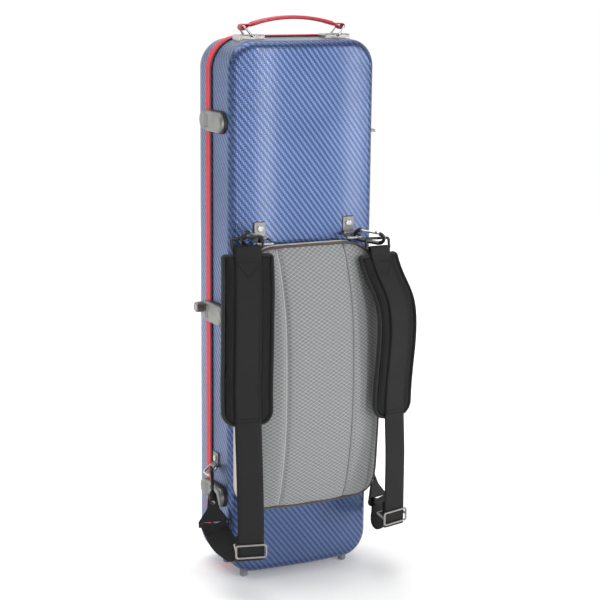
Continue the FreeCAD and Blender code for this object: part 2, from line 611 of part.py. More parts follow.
class Strap:
    """One shoulder strap, built on the right; the left one is mirrored at the end."""

    def __init__(self, sign):
        self.sign = sign
        route = [shifted(p, sign) for p in STRAP_ROUTE]
        self.top = route[0]
        self.main = Ribbon(route, (STRAP_TWIST, STRAP_TWIST))
        loop = [shifted(p, sign) for p in LOOP_ROUTE[:3]]
        loop += [V(*p) + V(0, 0, sign * SLIDER_SHIFT * 0.5) for p in LOOP_ROUTE[3:4]]
        loop += [V(*p) for p in LOOP_ROUTE[4:]] + [cuff_centre()]
        self.loop = Ribbon(loop, (STRAP_TWIST, TRIANGLE_TWIST))

    def share_at(self, height):
        """Share of the main route at which it passes a height."""
        low, high = 0.0, 1.0
        first, last = self.main.curve.FirstParameter, self.main.curve.LastParameter
        for _ in range(40):
            middle = (low + high) / 2
            if self.main.curve.value(first + (last - first) * middle).z > height:
                low = middle
            else:
                high = middle
        return low

    def placed(self, shape):
        """The shape on this strap's own side."""
        return shape if self.sign > 0 else mirrored(shape)

    def pad_shares(self):
        """Stations of the pad along the main route."""
        return spread(self.share_at(PAD_TOP - self.sign * PAD_SHIFT),
                      self.share_at(PAD_BOTTOM - self.sign * PAD_SHIFT), 15)

    def pad(self):
        """Padded shoulder piece behind the webbing."""
        shares = self.pad_shares()
        widths = [PAD_WIDTH] * (len(shares) - 1) + [PAD_WIDTH - 18]
        return self.placed(self.main.band(shares, widths, -PAD_THICK, -0.3))

    def webbing(self):
        """Webbing from the upper ring, down the pad's face, to the slider."""
        start = self.share_at(self.ring_low().z - 4.5)
        pad = self.pad_shares()
        above = spread(start, pad[0], 3)[:-1] if start < pad[0] else [start]
        shares = above + [share for share in pad if share > start] + spread(pad[-1], 1.0, 7)[1:]
        band = self.main.band(shares, [WEB_WIDTH] * len(shares), 0.0, WEB_THICK)
        at, across = self.ring_low(), self.frame()[1]
        half = across * (WEB_WIDTH / 2)
        loop = rod(STRAP_WIRE + 0.35 + WEB_THICK, at - half, at + half)
        hole = rod(STRAP_WIRE + 0.35, at - half * 1.2, at + half * 1.2)
        return self.placed(one(band.fuse(loop).cut(hole)))

    def lower_webbing(self):
        """Loop of webbing from behind the slider round to the triangle's lower bar."""
        shares = spread(0.0, 1.0, 18)
        band = self.loop.band(shares, [WEB_WIDTH] * len(shares), -WEB_THICK / 2, WEB_THICK / 2)
        half = triangle_across() * (WEB_WIDTH / 2)
        at = cuff_centre()
        cuff = rod(CUFF_BORE + WEB_THICK, at - half, at + half)
        hole = rod(CUFF_BORE, at - half * 1.3, at + half * 1.3)
        return self.placed(one(band.fuse(cuff).cut(hole)))

    def frame(self):
        """Width direction, downward tangent and normal at the top of the strap."""
        at, across, normal, tangent = self.main.stations([0.0])[0]
        return at, across, normal, tangent

    def ring_low(self):
        """Centre of the strap ring's lower bar."""
        at, _, normal, tangent = self.frame()
        return at + tangent * STRAP_RING_RISE

    def ring(self):
        """Rectangular wire ring that joins the webbing to the snap hook."""
        at, across, _, tangent = self.frame()
        half = across * (STRAP_RING_WIDTH / 2 - STRAP_WIRE)
        low = tangent * STRAP_RING_RISE
        return self.placed(wire_loop([at - half, at + half, at + half + low, at - half + low], STRAP_WIRE, 3.0))

    def slider(self):
        """Ladder slider: a wire frame in front of the webbing and a bar behind it."""
        share = self.share_at(SLIDER_HEIGHT + self.sign * SLIDER_SHIFT)
        at, across, normal, tangent = self.main.stations([share])[0]
        wire = 1.5
        front = normal * (WEB_THICK + 0.4 + wire)
        back = normal * -(2 * WEB_THICK + 5.6 + wire) - tangent * 6.0
        half = across * (WEB_WIDTH / 2 + 0.9 + wire)
        rise = tangent * 9.0
        corners = [at + front - half - rise, at + front + half - rise,
                   at + front + half + rise, at + front - half + rise]
        body = wire_loop(corners, wire, 3.0)
        body = body.fuse(rod(wire, at + back - half, at + back + half))
        for side in (-1, 1):
            body = body.fuse(rod(wire, at + front + half * side, at + back + half * side))
            body = body.fuse(Part.makeSphere(wire, at + back + half * side))
            body = body.fuse(Part.makeSphere(wire, at + front + half * side))
        return self.placed(one(body))


class Hook:
    """Snap hook: an oval loop with a sprung gate, placed by its end, direction and normal."""

    WIDTH, BAR, THICK, PIN = 22.0, 4.2, 4.6, 0.8
    GATE_GAP = 0.35

    def __init__(self, end, direction, normal, length, shank):
        self.length, self.shank = length, shank
        u = unit(direction)
        n = unit(normal - u * normal.dot(u))
        v = n.cross(u)
        self.place = FreeCAD.Placement(FreeCAD.Matrix(
            u.x, v.x, n.x, end.x, u.y, v.y, n.y, end.y, u.z, v.z, n.z, end.z, 0, 0, 0, 1))
        self.u, self.v, self.n = u, v, n

    def slab(self, length, width, x0, thick):
        """Flat oval, from x0 along the hook's length."""
        r = width / 2
        a, b = x0 + r, x0 + length - r
        edges = [Part.LineSegment(V(a, -r, 0), V(b, -r, 0)).toShape(),
                 Part.Arc(V(b, -r, 0), V(b + r, 0, 0), V(b, r, 0)).toShape(),
                 Part.LineSegment(V(b, r, 0), V(a, r, 0)).toShape(),
                 Part.Arc(V(a, r, 0), V(a - r, 0, 0), V(a, -r, 0)).toShape()]
        face = Part.Face(Part.Wire(edges))
        face.translate(V(0, 0, -thick / 2))
        return face.extrude(V(0, 0, thick))

    def gate_span(self):
        """Start and end of the gate along the hook."""
        return self.BAR + 5.5, self.length - self.BAR - 6.5

    def gate_pivot(self):
        """Pivot of the gate in the case's frame."""
        start, _ = self.gate_span()
        return self.place.multVec(V(start, self.WIDTH / 2 - self.BAR / 2, 0))

    def body(self):
        """Loop without its gate, and the shank where there is one."""
        outer = self.slab(self.length, self.WIDTH, 0, self.THICK)
        rims = [e for e in outer.Edges if abs(abs(e.CenterOfMass.z) - self.THICK / 2) < 0.01]
        outer = outer.makeFillet(1.2, rims)
        loop = outer.cut(self.slab(self.length - 2 * self.BAR, self.WIDTH - 2 * self.BAR, self.BAR, 20))
        start, end = self.gate_span()
        inner_y = self.WIDTH / 2 - self.BAR
        opening = block(start - self.BAR / 2 - 0.4, end, inner_y - 1, self.WIDTH, -10, 10)
        loop = loop.cut(opening)
        if self.shank:
            stem = Part.makeCylinder(2.6, self.shank, V(self.length - 1.5, 0, 0), X_AXIS)
            collar = Part.makeCylinder(4.0, 2.4, V(self.length - 1.2, 0, 0), X_AXIS)
            loop = loop.fuse(stem).fuse(collar)
        lug_y = self.WIDTH / 2 - self.BAR / 2
        for z0 in (-self.THICK / 2, self.THICK / 2 - 1.0):
            lug = Part.makeCylinder(self.BAR / 2, 1.0, V(start, lug_y, z0))
            arm = block(start - self.BAR, start, lug_y - self.BAR / 2, lug_y + self.BAR / 2, z0, z0 + 1.0)
            loop = loop.fuse(lug).fuse(arm)
        loop = loop.cut(Part.makeCylinder(self.PIN + RUN, 20, V(start, lug_y, -10)))
        return self.put(one(loop))

    def gate(self):
        """Sprung gate between the lugs, with the pin that it turns on."""
        start, end = self.gate_span()
        lug_y = self.WIDTH / 2 - self.BAR / 2
        half = self.THICK / 2 - 1.0 - self.GATE_GAP
        bar = block(start, end - self.GATE_GAP, lug_y - 1.3, lug_y + 1.3, -half, half)
        eye = Part.makeCylinder(1.7, 2 * half, V(start, lug_y, -half))
        thumb = Part.makeCylinder(1.6, 2 * half, V(end - 4.5, lug_y + 1.6, -half))
        pin = Part.makeCylinder(self.PIN, self.THICK, V(start, lug_y, -self.THICK / 2))
        return self.put(one(bar.fuse(eye).fuse(thumb).fuse(pin)))

    def put(self, shape):
        """The shape moved from the hook's own frame to the case's frame."""
        shape.Placement = self.place
        return shape


D_WIRE = 1.7
LINK_SLACK = 2.6           # play of a hook on its anchor's ring
LOW_SLACK = 4.4            # play of a lower hook on its anchor's ring
TOP_SLACK = 6.0            # play of a hook on the strap's ring
BAR_OFFSET = 3.6           # slot centre to the middle of the triangle's lower bar
BAR_HALF = 1.2
PLATE_HALF = 1.7
CUFF_BORE = 2.4


def upper_plate(base_filled):
    """Right upper anchor: a riveted plate with a barrel along its lower edge."""
    y = BASE.surface_y(ANCHOR_X)
    plate = block(ANCHOR_X - 9, ANCHOR_X + 9, y - 2.4, y + 4, ANCHOR_Z - 10, ANCHOR_Z + 11)
    front = [e for e in plate.Edges if e.CenterOfMass.y < y - 2.3]
    plate = plate.makeFillet(1.0, front)
    bar = upper_bar()
    barrel = rod(D_WIRE + RUN + 1.6, bar - X_AXIS * 8, bar + X_AXIS * 8)
    fold = block(ANCHOR_X - 8, ANCHOR_X + 8, bar.y, y + 4, bar.z, ANCHOR_Z - 8)
    plate = plate.fuse(barrel).fuse(fold)
    return one(plate.cut(rod(D_WIRE + RUN, bar - X_AXIS * 20, bar + X_AXIS * 20)).cut(base_filled))


def upper_bar():
    """Centre of the upper D ring's straight bar."""
    return V(ANCHOR_X, BASE.surface_y(ANCHOR_X + 11) - D_WIRE - 2.6, ANCHOR_Z - 12.5)


def upper_link():
    """Point where the snap hook hangs in the upper D ring's side."""
    return upper_bar() + V(11.0, -12.5, -2.4)


def upper_ring():
    """Right upper ring: a rectangular wire ring standing off the back."""
    bar = upper_bar()
    out = V(0, -21.0, -4.0)
    half = X_AXIS * 11.0
    return wire_loop([bar - half, bar + half, bar + half + out, bar - half + out], D_WIRE, 3.0)


def lower_bar():
    """Centre of the lower D ring's straight bar on the right side wall."""
    return V(BASE.wall_x(LOWER_ANCHOR_Y) + D_WIRE + 2.2, LOWER_ANCHOR_Y, LOWER_ANCHOR_Z - 12.0)


def lower_plate(base_filled):
    """Right lower anchor: a riveted plate on the side wall."""
    x = BASE.wall_x(LOWER_ANCHOR_Y)
    plate = block(x - 4, x + 2.2, LOWER_ANCHOR_Y - 8.5, LOWER_ANCHOR_Y + 8.5, LOWER_ANCHOR_Z - 9,
                  LOWER_ANCHOR_Z + 9)
    front = [e for e in plate.Edges if e.CenterOfMass.x > x + 2.1]
    plate = plate.makeFillet(1.0, front)
    bar = lower_bar()
    barrel = rod(D_WIRE + RUN + 1.5, bar - Y_AXIS * 7, bar + Y_AXIS * 7)
    fold = block(x - 4, bar.x, LOWER_ANCHOR_Y - 7, LOWER_ANCHOR_Y + 7, bar.z, LOWER_ANCHOR_Z - 7)
    plate = plate.fuse(barrel).fuse(fold)
    return one(plate.cut(rod(D_WIRE + RUN, bar - Y_AXIS * 20, bar + Y_AXIS * 20)).cut(base_filled))


def lower_ring():
    """Right lower ring: a rectangular wire ring standing off the side wall."""
    bar = lower_bar()
    out = V(12.5, 0, -10.0)
    half = Y_AXIS * 10.0
    return wire_loop([bar - half, bar + half, bar + half + out, bar - half + out], D_WIRE, 3.0)


def lower_link():
    """Point where the lower snap hook hangs in its ring's side."""
    return lower_bar() + V(9.0, -10.0, -7.2)


def rivet(at, outward, radius=4.6):
    """Domed rivet head with its shank."""
    body = Part.makeCylinder(radius, 1.8, at, outward)
    edge = [e for e in body.Edges if (e.CenterOfMass - at).dot(outward) > 1.7]
    return body.makeFillet(1.2, edge)


def lower_hook():
    """Right lower snap hook, from its ring towards the triangle."""
    link = lower_link()
    direction = unit(V(*SLOT_CENTRE) - link)
    end = link - direction * (Hook.BAR + D_WIRE + LOW_SLACK)
    return Hook(end, direction, V(0.95, 0.31, 0.0), 38.0, 10.0)


def triangle_across():
    """Direction of the right triangle's slot."""
    u = lower_hook().u
    across = V(cos(radians(TRIANGLE_TWIST)), sin(radians(TRIANGLE_TWIST)), 0)
    return unit(across - u * across.dot(u))


def cuff_centre():
    """Centre of the right triangle's lower bar, which the webbing goes round."""
    return V(*SLOT_CENTRE) + lower_hook().u * BAR_OFFSET


def triangle():
    """Right triangle: webbing slot at the foot, swivel bore at the apex."""
    hook = lower_hook()
    u = hook.u
    slot = V(*SLOT_CENTRE)
    across = triangle_across()
    normal = across.cross(u)
    apex = hook.place.multVec(V(hook.length + 1.6, 0, 0))
    height = (slot - apex).dot(u)
    foot_end = height + BAR_OFFSET + BAR_HALF
    waist = apex + u * (height * 0.5)
    foot_half = across * (WEB_WIDTH / 2 + TRIANGLE_EDGE)
    shoulder = apex + u * (height - TRIANGLE_EDGE + 0.1)
    outer = [apex - across * TRIANGLE_NECK, apex + across * TRIANGLE_NECK, waist + across * TRIANGLE_WAIST,
             shoulder + foot_half, apex + u * foot_end + foot_half, apex + u * foot_end - foot_half,
             shoulder - foot_half, waist - across * TRIANGLE_WAIST]
    body = prism([p - normal * PLATE_HALF for p in outer], normal * (2 * PLATE_HALF))
    boss = rod(5.4, apex, apex + u * 10.5)
    body = body.fuse(boss)
    cut_half = WEB_WIDTH / 2 + 0.7
    slot_half = BAR_OFFSET - BAR_HALF
    slot_box = [apex + u * (height - slot_half) + across * cut_half,
                apex + u * (height + slot_half) + across * cut_half,
                apex + u * (height + slot_half) - across * cut_half,
                apex + u * (height - slot_half) - across * cut_half]
    body = body.cut(prism([p - normal * 8 for p in slot_box], normal * 16))
    body = body.cut(rod(2.6 + RUN, apex - u * 2, apex + u * 11.5))
    window = apex + u * 13.6
    body = body.cut(rod(3.2, window - normal * 8, window + normal * 8))
    return one(body)


def upper_hook(strap):
    """Snap hook between the upper ring and the strap's ring, drawn on the right."""
    link = upper_link()
    direction = unit(strap.top - link)
    end = link - direction * (Hook.BAR + D_WIRE + LINK_SLACK)
    length = (strap.top - link).Length + 2 * Hook.BAR + LINK_SLACK + TOP_SLACK + D_WIRE + STRAP_WIRE
    return Hook(end, direction, V(-0.75, -0.6, -0.45), length, 0.0)


# ---------------------------------------------------------------- cushion
def cushion_outline(y, grow):
    """Rounded outline of the cushion in a plane of constant Y, with wider corners at the top."""
    half, low, high = CUSHION_HALF + grow, CUSHION_LOW - grow, CUSHION_HIGH + grow
    spots = ((1, -1, CUSHION_CORNER + grow, -90), (1, 1, CUSHION_TOP_CORNER + grow, 0),
             (-1, 1, CUSHION_TOP_CORNER + grow, 90), (-1, -1, CUSHION_CORNER + grow, 180))
    arcs = []
    for sx, sz, corner, first in spots:
        x = sx * (half - corner)
        z = high - corner if sz > 0 else low + corner
        arcs.append([V(x + corner * cos(radians(first + turn)), y, z + corner * sin(radians(first + turn)))
                     for turn in (0, 45, 90)])
    edges = []
    for i, at in enumerate(arcs):
        edges.append(Part.Arc(*at).toShape())
        edges.append(Part.LineSegment(at[2], arcs[(i + 1) % 4][0]).toShape())
    return Part.Wire(edges)


def cushion_board():
    """Thin board, curved to the back, that carries the cushion."""
    plate = Part.Face(cushion_outline(-BASE_DEPTH + 20, -10.0)).extrude(V(0, -60, 0))
    offset = CUSHION_BOARD + FIT
    axis_y = BASE.side * (BASE.depth + BASE.crown - BASE.crown_radius)
    near = Part.makeCylinder(BASE.crown_radius + FIT, 900, V(0, axis_y, -30))
    far = Part.makeCylinder(BASE.crown_radius + offset, 900, V(0, axis_y, -30))
    return one(plate.common(far).cut(near))


def cushion_pad():
    """Padded back rest: a side band, then a face that swells towards the waist."""
    side = Part.Face(cushion_outline(-BASE_DEPTH + 6, 0.0)).extrude(V(0, -110, 0))
    reach = CUSHION_HALF + 12
    levels = []
    for z, band, crown_height in CUSHION_SECTIONS:
        edge_y, seam_y = -BASE_DEPTH - band + 5, -BASE_DEPTH - band - crown_height
        points = [V(-reach, edge_y, z), V(-SEAM_X, seam_y, z), V(0, seam_y - 3, z), V(SEAM_X, seam_y, z),
                  V(reach, edge_y, z)]
        crown = Part.BSplineCurve()
        crown.interpolate(points)
        closing = Part.makePolygon([points[-1], V(reach, 0, z), V(-reach, 0, z), points[0]])
        levels.append(Part.Wire([crown.toShape()] + closing.Edges))
    face = Part.makeLoft(levels, True, False)
    axis_y = BASE.side * (BASE.depth + BASE.crown - BASE.crown_radius)
    back = Part.makeCylinder(BASE.crown_radius + CUSHION_BOARD + 0.4, 900, V(0, axis_y, -30))
    return one(side.common(face).cut(back))


# ---------------------------------------------------------------- inside
def body_pocket(depth):
    """Recess in the shape of a violin's body."""
    points = [V(x, 0, z + POCKET_LOW) for x, z in BODY_OUTLINE]
    mirrored_points = [V(-p.x, 0, p.z) for p in reversed(points[1:-1])]
    curve = Part.BSplineCurve()
    curve.interpolate(points + mirrored_points, True)
    return Part.Face(Part.Wire(curve.toShape())).extrude(V(0, -depth, 0))


def recess(x0, x1, z0, z1, depth, corner=8.0):
    """Rectangular recess with rounded corners."""
    box = block(x0, x1, -depth, 1, z0, z1)
    upright = [e for e in box.Edges if abs(e.tangentAt(e.FirstParameter).y) > 0.9]
    return box.makeFillet(corner, upright)


def base_lining():
    """Foam block under plush, with the violin's pocket, the neck's channel and the bays."""
    body = BASE.solid(SHELL_WALL + FIT, MOUTH + 0.5)
    body = body.cut(body_pocket(POCKET_DEPTH))
    neck_low = POCKET_LOW + BODY_OUTLINE[-1][1] - 22
    body = body.cut(block(-NECK_HALF, NECK_HALF, -NECK_DEPTH, 1, neck_low, SCROLL_LOW + 10))
    body = body.cut(recess(-SCROLL_HALF, SCROLL_HALF, SCROLL_LOW, SCROLL_HIGH, POCKET_DEPTH))
    for sign in (-1, 1):
        x0, x1 = sorted((sign * BAY_INNER, sign * BAY_OUTER))
        body = body.cut(recess(x0, x1, BAY_LOW, BAY_HIGH, BAY_DEPTH))
    body = body.cut(recess(-BOX_HALF, BOX_HALF, BOX_LOW, BOX_LOW + BOX_LENGTH, BOX_DEPTH, 4.0))
    lid_depth = MOUTH + 0.5 + BOX_LID + 0.3
    body = body.cut(block(-BOX_HALF - LEDGE, BOX_HALF + LEDGE, -lid_depth, 1, BOX_LOW - LEDGE,
                          BOX_LOW + BOX_LENGTH + LEDGE))
    body = body.cut(recess(-TRAY_HALF, TRAY_HALF, TRAY_LOW, TRAY_HIGH, BAY_DEPTH))
    return foam_blocks(body)


def foam_blocks(body):
    """The lining as it is glued up: a floor sheet, then blocks between the joints along the case."""
    reach = CASE_WIDTH
    sheet = body.common(block(-reach, reach, -2 * BASE_DEPTH, -POCKET_DEPTH, 0, TOP))
    cuts = [0.0] + [POCKET_LOW + BODY_OUTLINE[i][1] for i in FOAM_JOINTS] + [
        BAY_LOW, SCROLL_LOW, (SCROLL_HIGH + BOX_LOW - LEDGE) / 2, (BOX_LOW + BOX_LENGTH + LEDGE + TRAY_LOW) / 2, TOP]
    blocks = [body.common(block(-reach, reach, -POCKET_DEPTH, 1, low, high)) for low, high in zip(cuts, cuts[1:])]
    return group([sheet] + blocks)


def box_lid():
    """Lid of the accessory box, hinged along its lower edge."""
    top = -MOUTH - 0.5
    body = block(-BOX_HALF - LEDGE + CLEAR, BOX_HALF + LEDGE - CLEAR, top - BOX_LID, top,
                 BOX_LOW - LEDGE + CLEAR, BOX_LOW + BOX_LENGTH + LEDGE - CLEAR)
    return body


def box_tab():
    """Pull tab on the accessory box's lid."""
    top = -MOUTH - 0.5
    z = BOX_LOW + BOX_LENGTH + LEDGE - CLEAR
    return block(-7, 7, top + 0.05, top + 1.3, z - 16, z - 0.5)


def box_lid_axis():
    """Hinge line of the accessory box's lid."""
    return V(0, -MOUTH - 0.5, BOX_LOW - LEDGE + CLEAR)


def neck_cradle():
    """Padded saddle under the violin's neck."""
    half = NECK_HALF - FIT
    body = block(-half, half, -NECK_DEPTH + FIT, -MOUTH - 1, CRADLE_LOW, CRADLE_LOW + CRADLE_LENGTH)
    groove = Part.makeCylinder(15.0, CRADLE_LENGTH + 2, V(0, -MOUTH, CRADLE_LOW - 1))
    return one(body.cut(groove))


def neck_tie():
    """Soft tie that arches over the violin's neck."""
    width, thick, reach, rise = 18.0, 2.0, 37.0, 16.0
    foot_y = -MOUTH - 0.5 + 0.1
    z0 = CRADLE_LOW + (CRADLE_LENGTH - width) / 2
    radius = (reach * reach + rise * rise) / (2 * rise)
    centre = V(0, foot_y + rise - radius, z0)
    ring = Part.makeCylinder(radius, width, centre).cut(Part.makeCylinder(radius - thick, width, centre))
    return one(ring.common(block(-60, 60, foot_y, 60, 0, TOP)))


def lid_lining():
    """Plush over thin foam inside the lid."""
    inset = SHELL_WALL + FIT
    outer = LID.solid(inset, MOUTH + 0.5)
    inner = LID.solid(inset + LINING, MOUTH)
    return outer.cut(inner)


def lining_face(x):
    """Y of the lid lining's inner face at a given X."""
    return LID.surface_y(x, SHELL_WALL + FIT + LINING)


def spinner_post(x):
    """Fixed post of a bow spinner, standing on the lid's lining."""
    seat = lining_face(abs(x) + 9) - 0.05
    flange = Part.makeCylinder(9.0, 2.5, V(x, seat - 2.5, SPINNER_Z), Y_AXIS)
    post = Part.makeCylinder(SPINNER_POST, 22.0, V(x, seat - 22.0, SPINNER_Z), Y_AXIS)
    head = Part.makeCylinder(SPINNER_POST + 2.0, 1.5, V(x, seat - 23.5, SPINNER_Z), Y_AXIS)
    return one(flange.fuse(post).fuse(head))


def spinner(x):
    """Turning arm that traps the frog of a bow."""
    seat = lining_face(abs(x) + 9) - 0.05
    hub_low = seat - 22.0 + 0.4
    hub = Part.makeCylinder(7.0, seat - 2.5 - CLEAR - hub_low, V(x, hub_low, SPINNER_Z), Y_AXIS)
    arm = block(x - 21, x + 21, hub_low, hub_low + 4.5, SPINNER_Z - 5, SPINNER_Z + 5)
    round_ends = [e for e in arm.Edges if abs(e.tangentAt(e.FirstParameter).y) > 0.9]
    arm = arm.makeFillet(4.5, round_ends)
    body = hub.fuse(arm)
    bore = Part.makeCylinder(SPINNER_POST + RUN, 60, V(x, seat - 50, SPINNER_Z), Y_AXIS)
    return one(body.cut(bore))


def tip_loop(x):
    """Plush-covered loop that holds the tip of a bow."""
    seat = lining_face(abs(x) + 13) - 0.05
    body = block(x - 13, x + 13, seat - 17, seat, TIP_Z - 15, TIP_Z + 15)
    upright = [e for e in body.Edges if abs(e.tangentAt(e.FirstParameter).z) > 0.9 and e.CenterOfMass.y < seat - 1]
    body = body.makeFillet(5.0, upright)
    return one(body.cut(block(x - 9, x + 9, seat - 13, seat - 3, TIP_Z - 18, TIP_Z + 18)))


# ---------------------------------------------------------------- the whole case
def build():
    """All nodes of the case, by name."""
    base_filled = BASE.solid(-FIT, 0.0)
    lid_filled = LID.solid(-FIT, 0.0)
    nodes = {
        "base_shell": shell(BASE),
        "lid_shell": shell(LID),
        "base_rim": rim(BASE, BASE.solid(-FIT, MOUTH), True),
        "lid_rim": rim(LID, LID.solid(-FIT, MOUTH), False),
        "lid_seal": seal(LID),
        "base_lining": base_lining(),
        "lid_lining": lid_lining(),
    }

    zone = rim_zone()
    lid_zone = outline_prism(LID, -RIM_PROUD - FIT, -1.0, RIM_WIDTH + FIT)
    nodes["base_rim_strip"] = rim_strip()
    nodes["latch_gaskets"] = group([latch_gasket(base_filled, zone, z) for z in LATCH_HEIGHTS])
    nodes["latch_covers"] = group([latch_cover(zone, z) for z in LATCH_HEIGHTS])
    nodes["latch_pins"] = group([raised(latch_pin(), z) for z in LATCH_HEIGHTS])
    for name, z in zip(("lower", "middle", "upper"), LATCH_HEIGHTS):
        nodes["latch_lever_" + name] = raised(latch_lever(), z)
    nodes["lid_keepers"] = group([keeper(lid_filled, z) for z in LATCH_HEIGHTS])
    nodes["lock_housing"] = lock_housing()
    nodes["lock_cylinder"] = lock_cylinder()

    base_spans, lid_spans = hinge_spans()
    nodes["hinge_base_leaves"] = group([
        leaf_relief(hinge_leaf(BASE, base_filled, zone, z, base_spans), z, lid_spans) for z in LATCH_HEIGHTS])
    nodes["hinge_lid_leaves"] = group([
        leaf_relief(hinge_leaf(LID, lid_filled, lid_zone, z, lid_spans), z, base_spans) for z in LATCH_HEIGHTS])
    nodes["hinge_pins"] = group([Part.makeCylinder(HINGE_PIN, 2 * HINGE_HALF, V(HINGE_X, 0, z - HINGE_HALF))
                                 for z in LATCH_HEIGHTS])

    nodes["base_end_feet"] = group([foot(BASE, base_filled, s * FOOT_X, BASE_FOOT_Y) for s in (-1, 1)])
    nodes["lid_end_feet"] = group([foot(LID, lid_filled, s * FOOT_X, LID_FOOT_Y) for s in (-1, 1)])

    bracket = handle_bracket(base_filled)
    nodes["handle_brackets"] = group([bracket, mirrored(bracket)])
    nodes["handle_ring_right"] = handle_ring()
    nodes["handle_ring_left"] = mirrored(handle_ring())
    nodes["handle_strap"] = handle_strap()
    nodes["side_strap_eye"] = side_eye(base_filled)

    upper, lower = upper_plate(base_filled), lower_plate(base_filled)
    nodes["strap_anchors"] = group([upper, mirrored(upper), lower, mirrored(lower)])
    up_rivet = rivet(V(ANCHOR_X, BASE.surface_y(ANCHOR_X) - 2.45, ANCHOR_Z + 1.5), V(0, -1, 0))
    low_rivet = rivet(V(BASE.wall_x(LOWER_ANCHOR_Y) + 2.25, LOWER_ANCHOR_Y, LOWER_ANCHOR_Z), V(1, 0, 0))
    nodes["anchor_rivets"] = group([up_rivet, mirrored(up_rivet), low_rivet, mirrored(low_rivet)])
    nodes["anchor_rings"] = group([upper_ring(), mirrored(upper_ring()), lower_ring(), mirrored(lower_ring())])

    for name, sign in (("left", -1), ("right", 1)):
        strap = Strap(sign)
        top, low = upper_hook(strap), lower_hook()
        nodes["shoulder_pad_" + name] = strap.pad()
        nodes["webbing_" + name] = strap.webbing()
        nodes["lower_webbing_" + name] = strap.lower_webbing()
        nodes["strap_ring_" + name] = strap.ring()
        nodes["slider_" + name] = strap.slider()
        nodes["upper_hook_" + name] = strap.placed(top.body())
        nodes["lower_hook_" + name] = strap.placed(low.body())
        nodes["upper_gate_" + name] = strap.placed(top.gate())
        nodes["lower_gate_" + name] = strap.placed(low.gate())
        nodes["triangle_" + name] = strap.placed(triangle())

    nodes["cushion_board"] = cushion_board()
    nodes["cushion_pad"] = cushion_pad()

    nodes["accessory_box_lid"] = box_lid()
    nodes["accessory_box_tab"] = box_tab()
    nodes["neck_cradle"] = neck_cradle()
    nodes["neck_tie"] = neck_tie()
    for name, sign in (("left", -1), ("right", 1)):
        nodes["bow_spinner_" + name] = spinner(sign * BOW_X)
    nodes["bow_spinner_posts"] = group([spinner_post(sign * BOW_X) for sign in (-1, 1)])
    nodes["bow_tip_loops"] = group([tip_loop(sign * BOW_X) for sign in (-1, 1)])
    return nodes


NODES = build()
os.makedirs("parts", exist_ok=True)
for node, shape in NODES.items():
    box = shape.optimalBoundingBox()
    print(f"{node:24s} solids {len(shape.Solids)} valid {shape.isValid()} volume {shape.Volume / 1000:9.2f} cm3 "
          f"x {box.XMin:.1f} {box.XMax:.1f} y {box.YMin:.1f} {box.YMax:.1f} z {box.ZMin:.1f} {box.ZMax:.1f}")
    shape.exportStep(f"parts/{node}.step")
print(len(NODES), "nodes")
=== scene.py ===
"""Looks of an oblong violin case with a back cushion and shoulder straps.

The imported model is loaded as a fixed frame. Hard pieces keep their meshes and get procedural finishes; the
cushion, the shoulder pads, the webbing and the grip are built here around the frame and stand for their plain
solids. All lengths are metres, X is the width, -Y the back with the cushion, +Y the lid and Z runs upwards.
"""
from __future__ import annotations

import logging
import math
from dataclasses import dataclass
from enum import Enum
from typing import Callable, Sequence

import bmesh
import bpy
import numpy as np
from mathutils import Euler, Matrix, Vector

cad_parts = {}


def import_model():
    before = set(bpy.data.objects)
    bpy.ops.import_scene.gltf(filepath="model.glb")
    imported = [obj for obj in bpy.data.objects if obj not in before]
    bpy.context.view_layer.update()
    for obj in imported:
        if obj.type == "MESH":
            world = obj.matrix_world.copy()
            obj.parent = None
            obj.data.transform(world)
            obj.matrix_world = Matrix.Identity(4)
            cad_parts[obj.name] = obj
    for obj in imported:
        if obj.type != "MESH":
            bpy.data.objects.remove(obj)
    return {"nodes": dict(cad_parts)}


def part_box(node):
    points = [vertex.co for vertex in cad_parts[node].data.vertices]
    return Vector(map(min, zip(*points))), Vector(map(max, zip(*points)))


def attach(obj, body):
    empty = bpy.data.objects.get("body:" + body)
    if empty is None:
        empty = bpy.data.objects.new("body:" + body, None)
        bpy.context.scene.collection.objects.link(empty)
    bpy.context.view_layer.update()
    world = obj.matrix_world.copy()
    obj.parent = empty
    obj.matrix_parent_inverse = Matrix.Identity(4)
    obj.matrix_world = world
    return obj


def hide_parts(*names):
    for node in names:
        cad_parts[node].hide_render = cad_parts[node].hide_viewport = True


LOG = logging.getLogger("violin_case")
MM = 0.001
Colour = tuple[float, float, float]


# ---------------------------------------------------------------- shader expressions
def math_method(operation: str, reflected: bool = False) -> Callable[..., "Signal"]:
    """Method of a signal that adds one Math node.

    Args:
        operation: Name of the Math node's operation.
        reflected: Whether the other value comes first.

    Returns:
        The method.
    """
    def method(self: "Signal", *others: object) -> "Signal":
        """Add the node for these signals or numbers."""
        values = (*others, self) if reflected else (self, *others)
        return self.sheet.node("ShaderNodeMath", {"operation": operation}, dict(enumerate(values)))

    return method


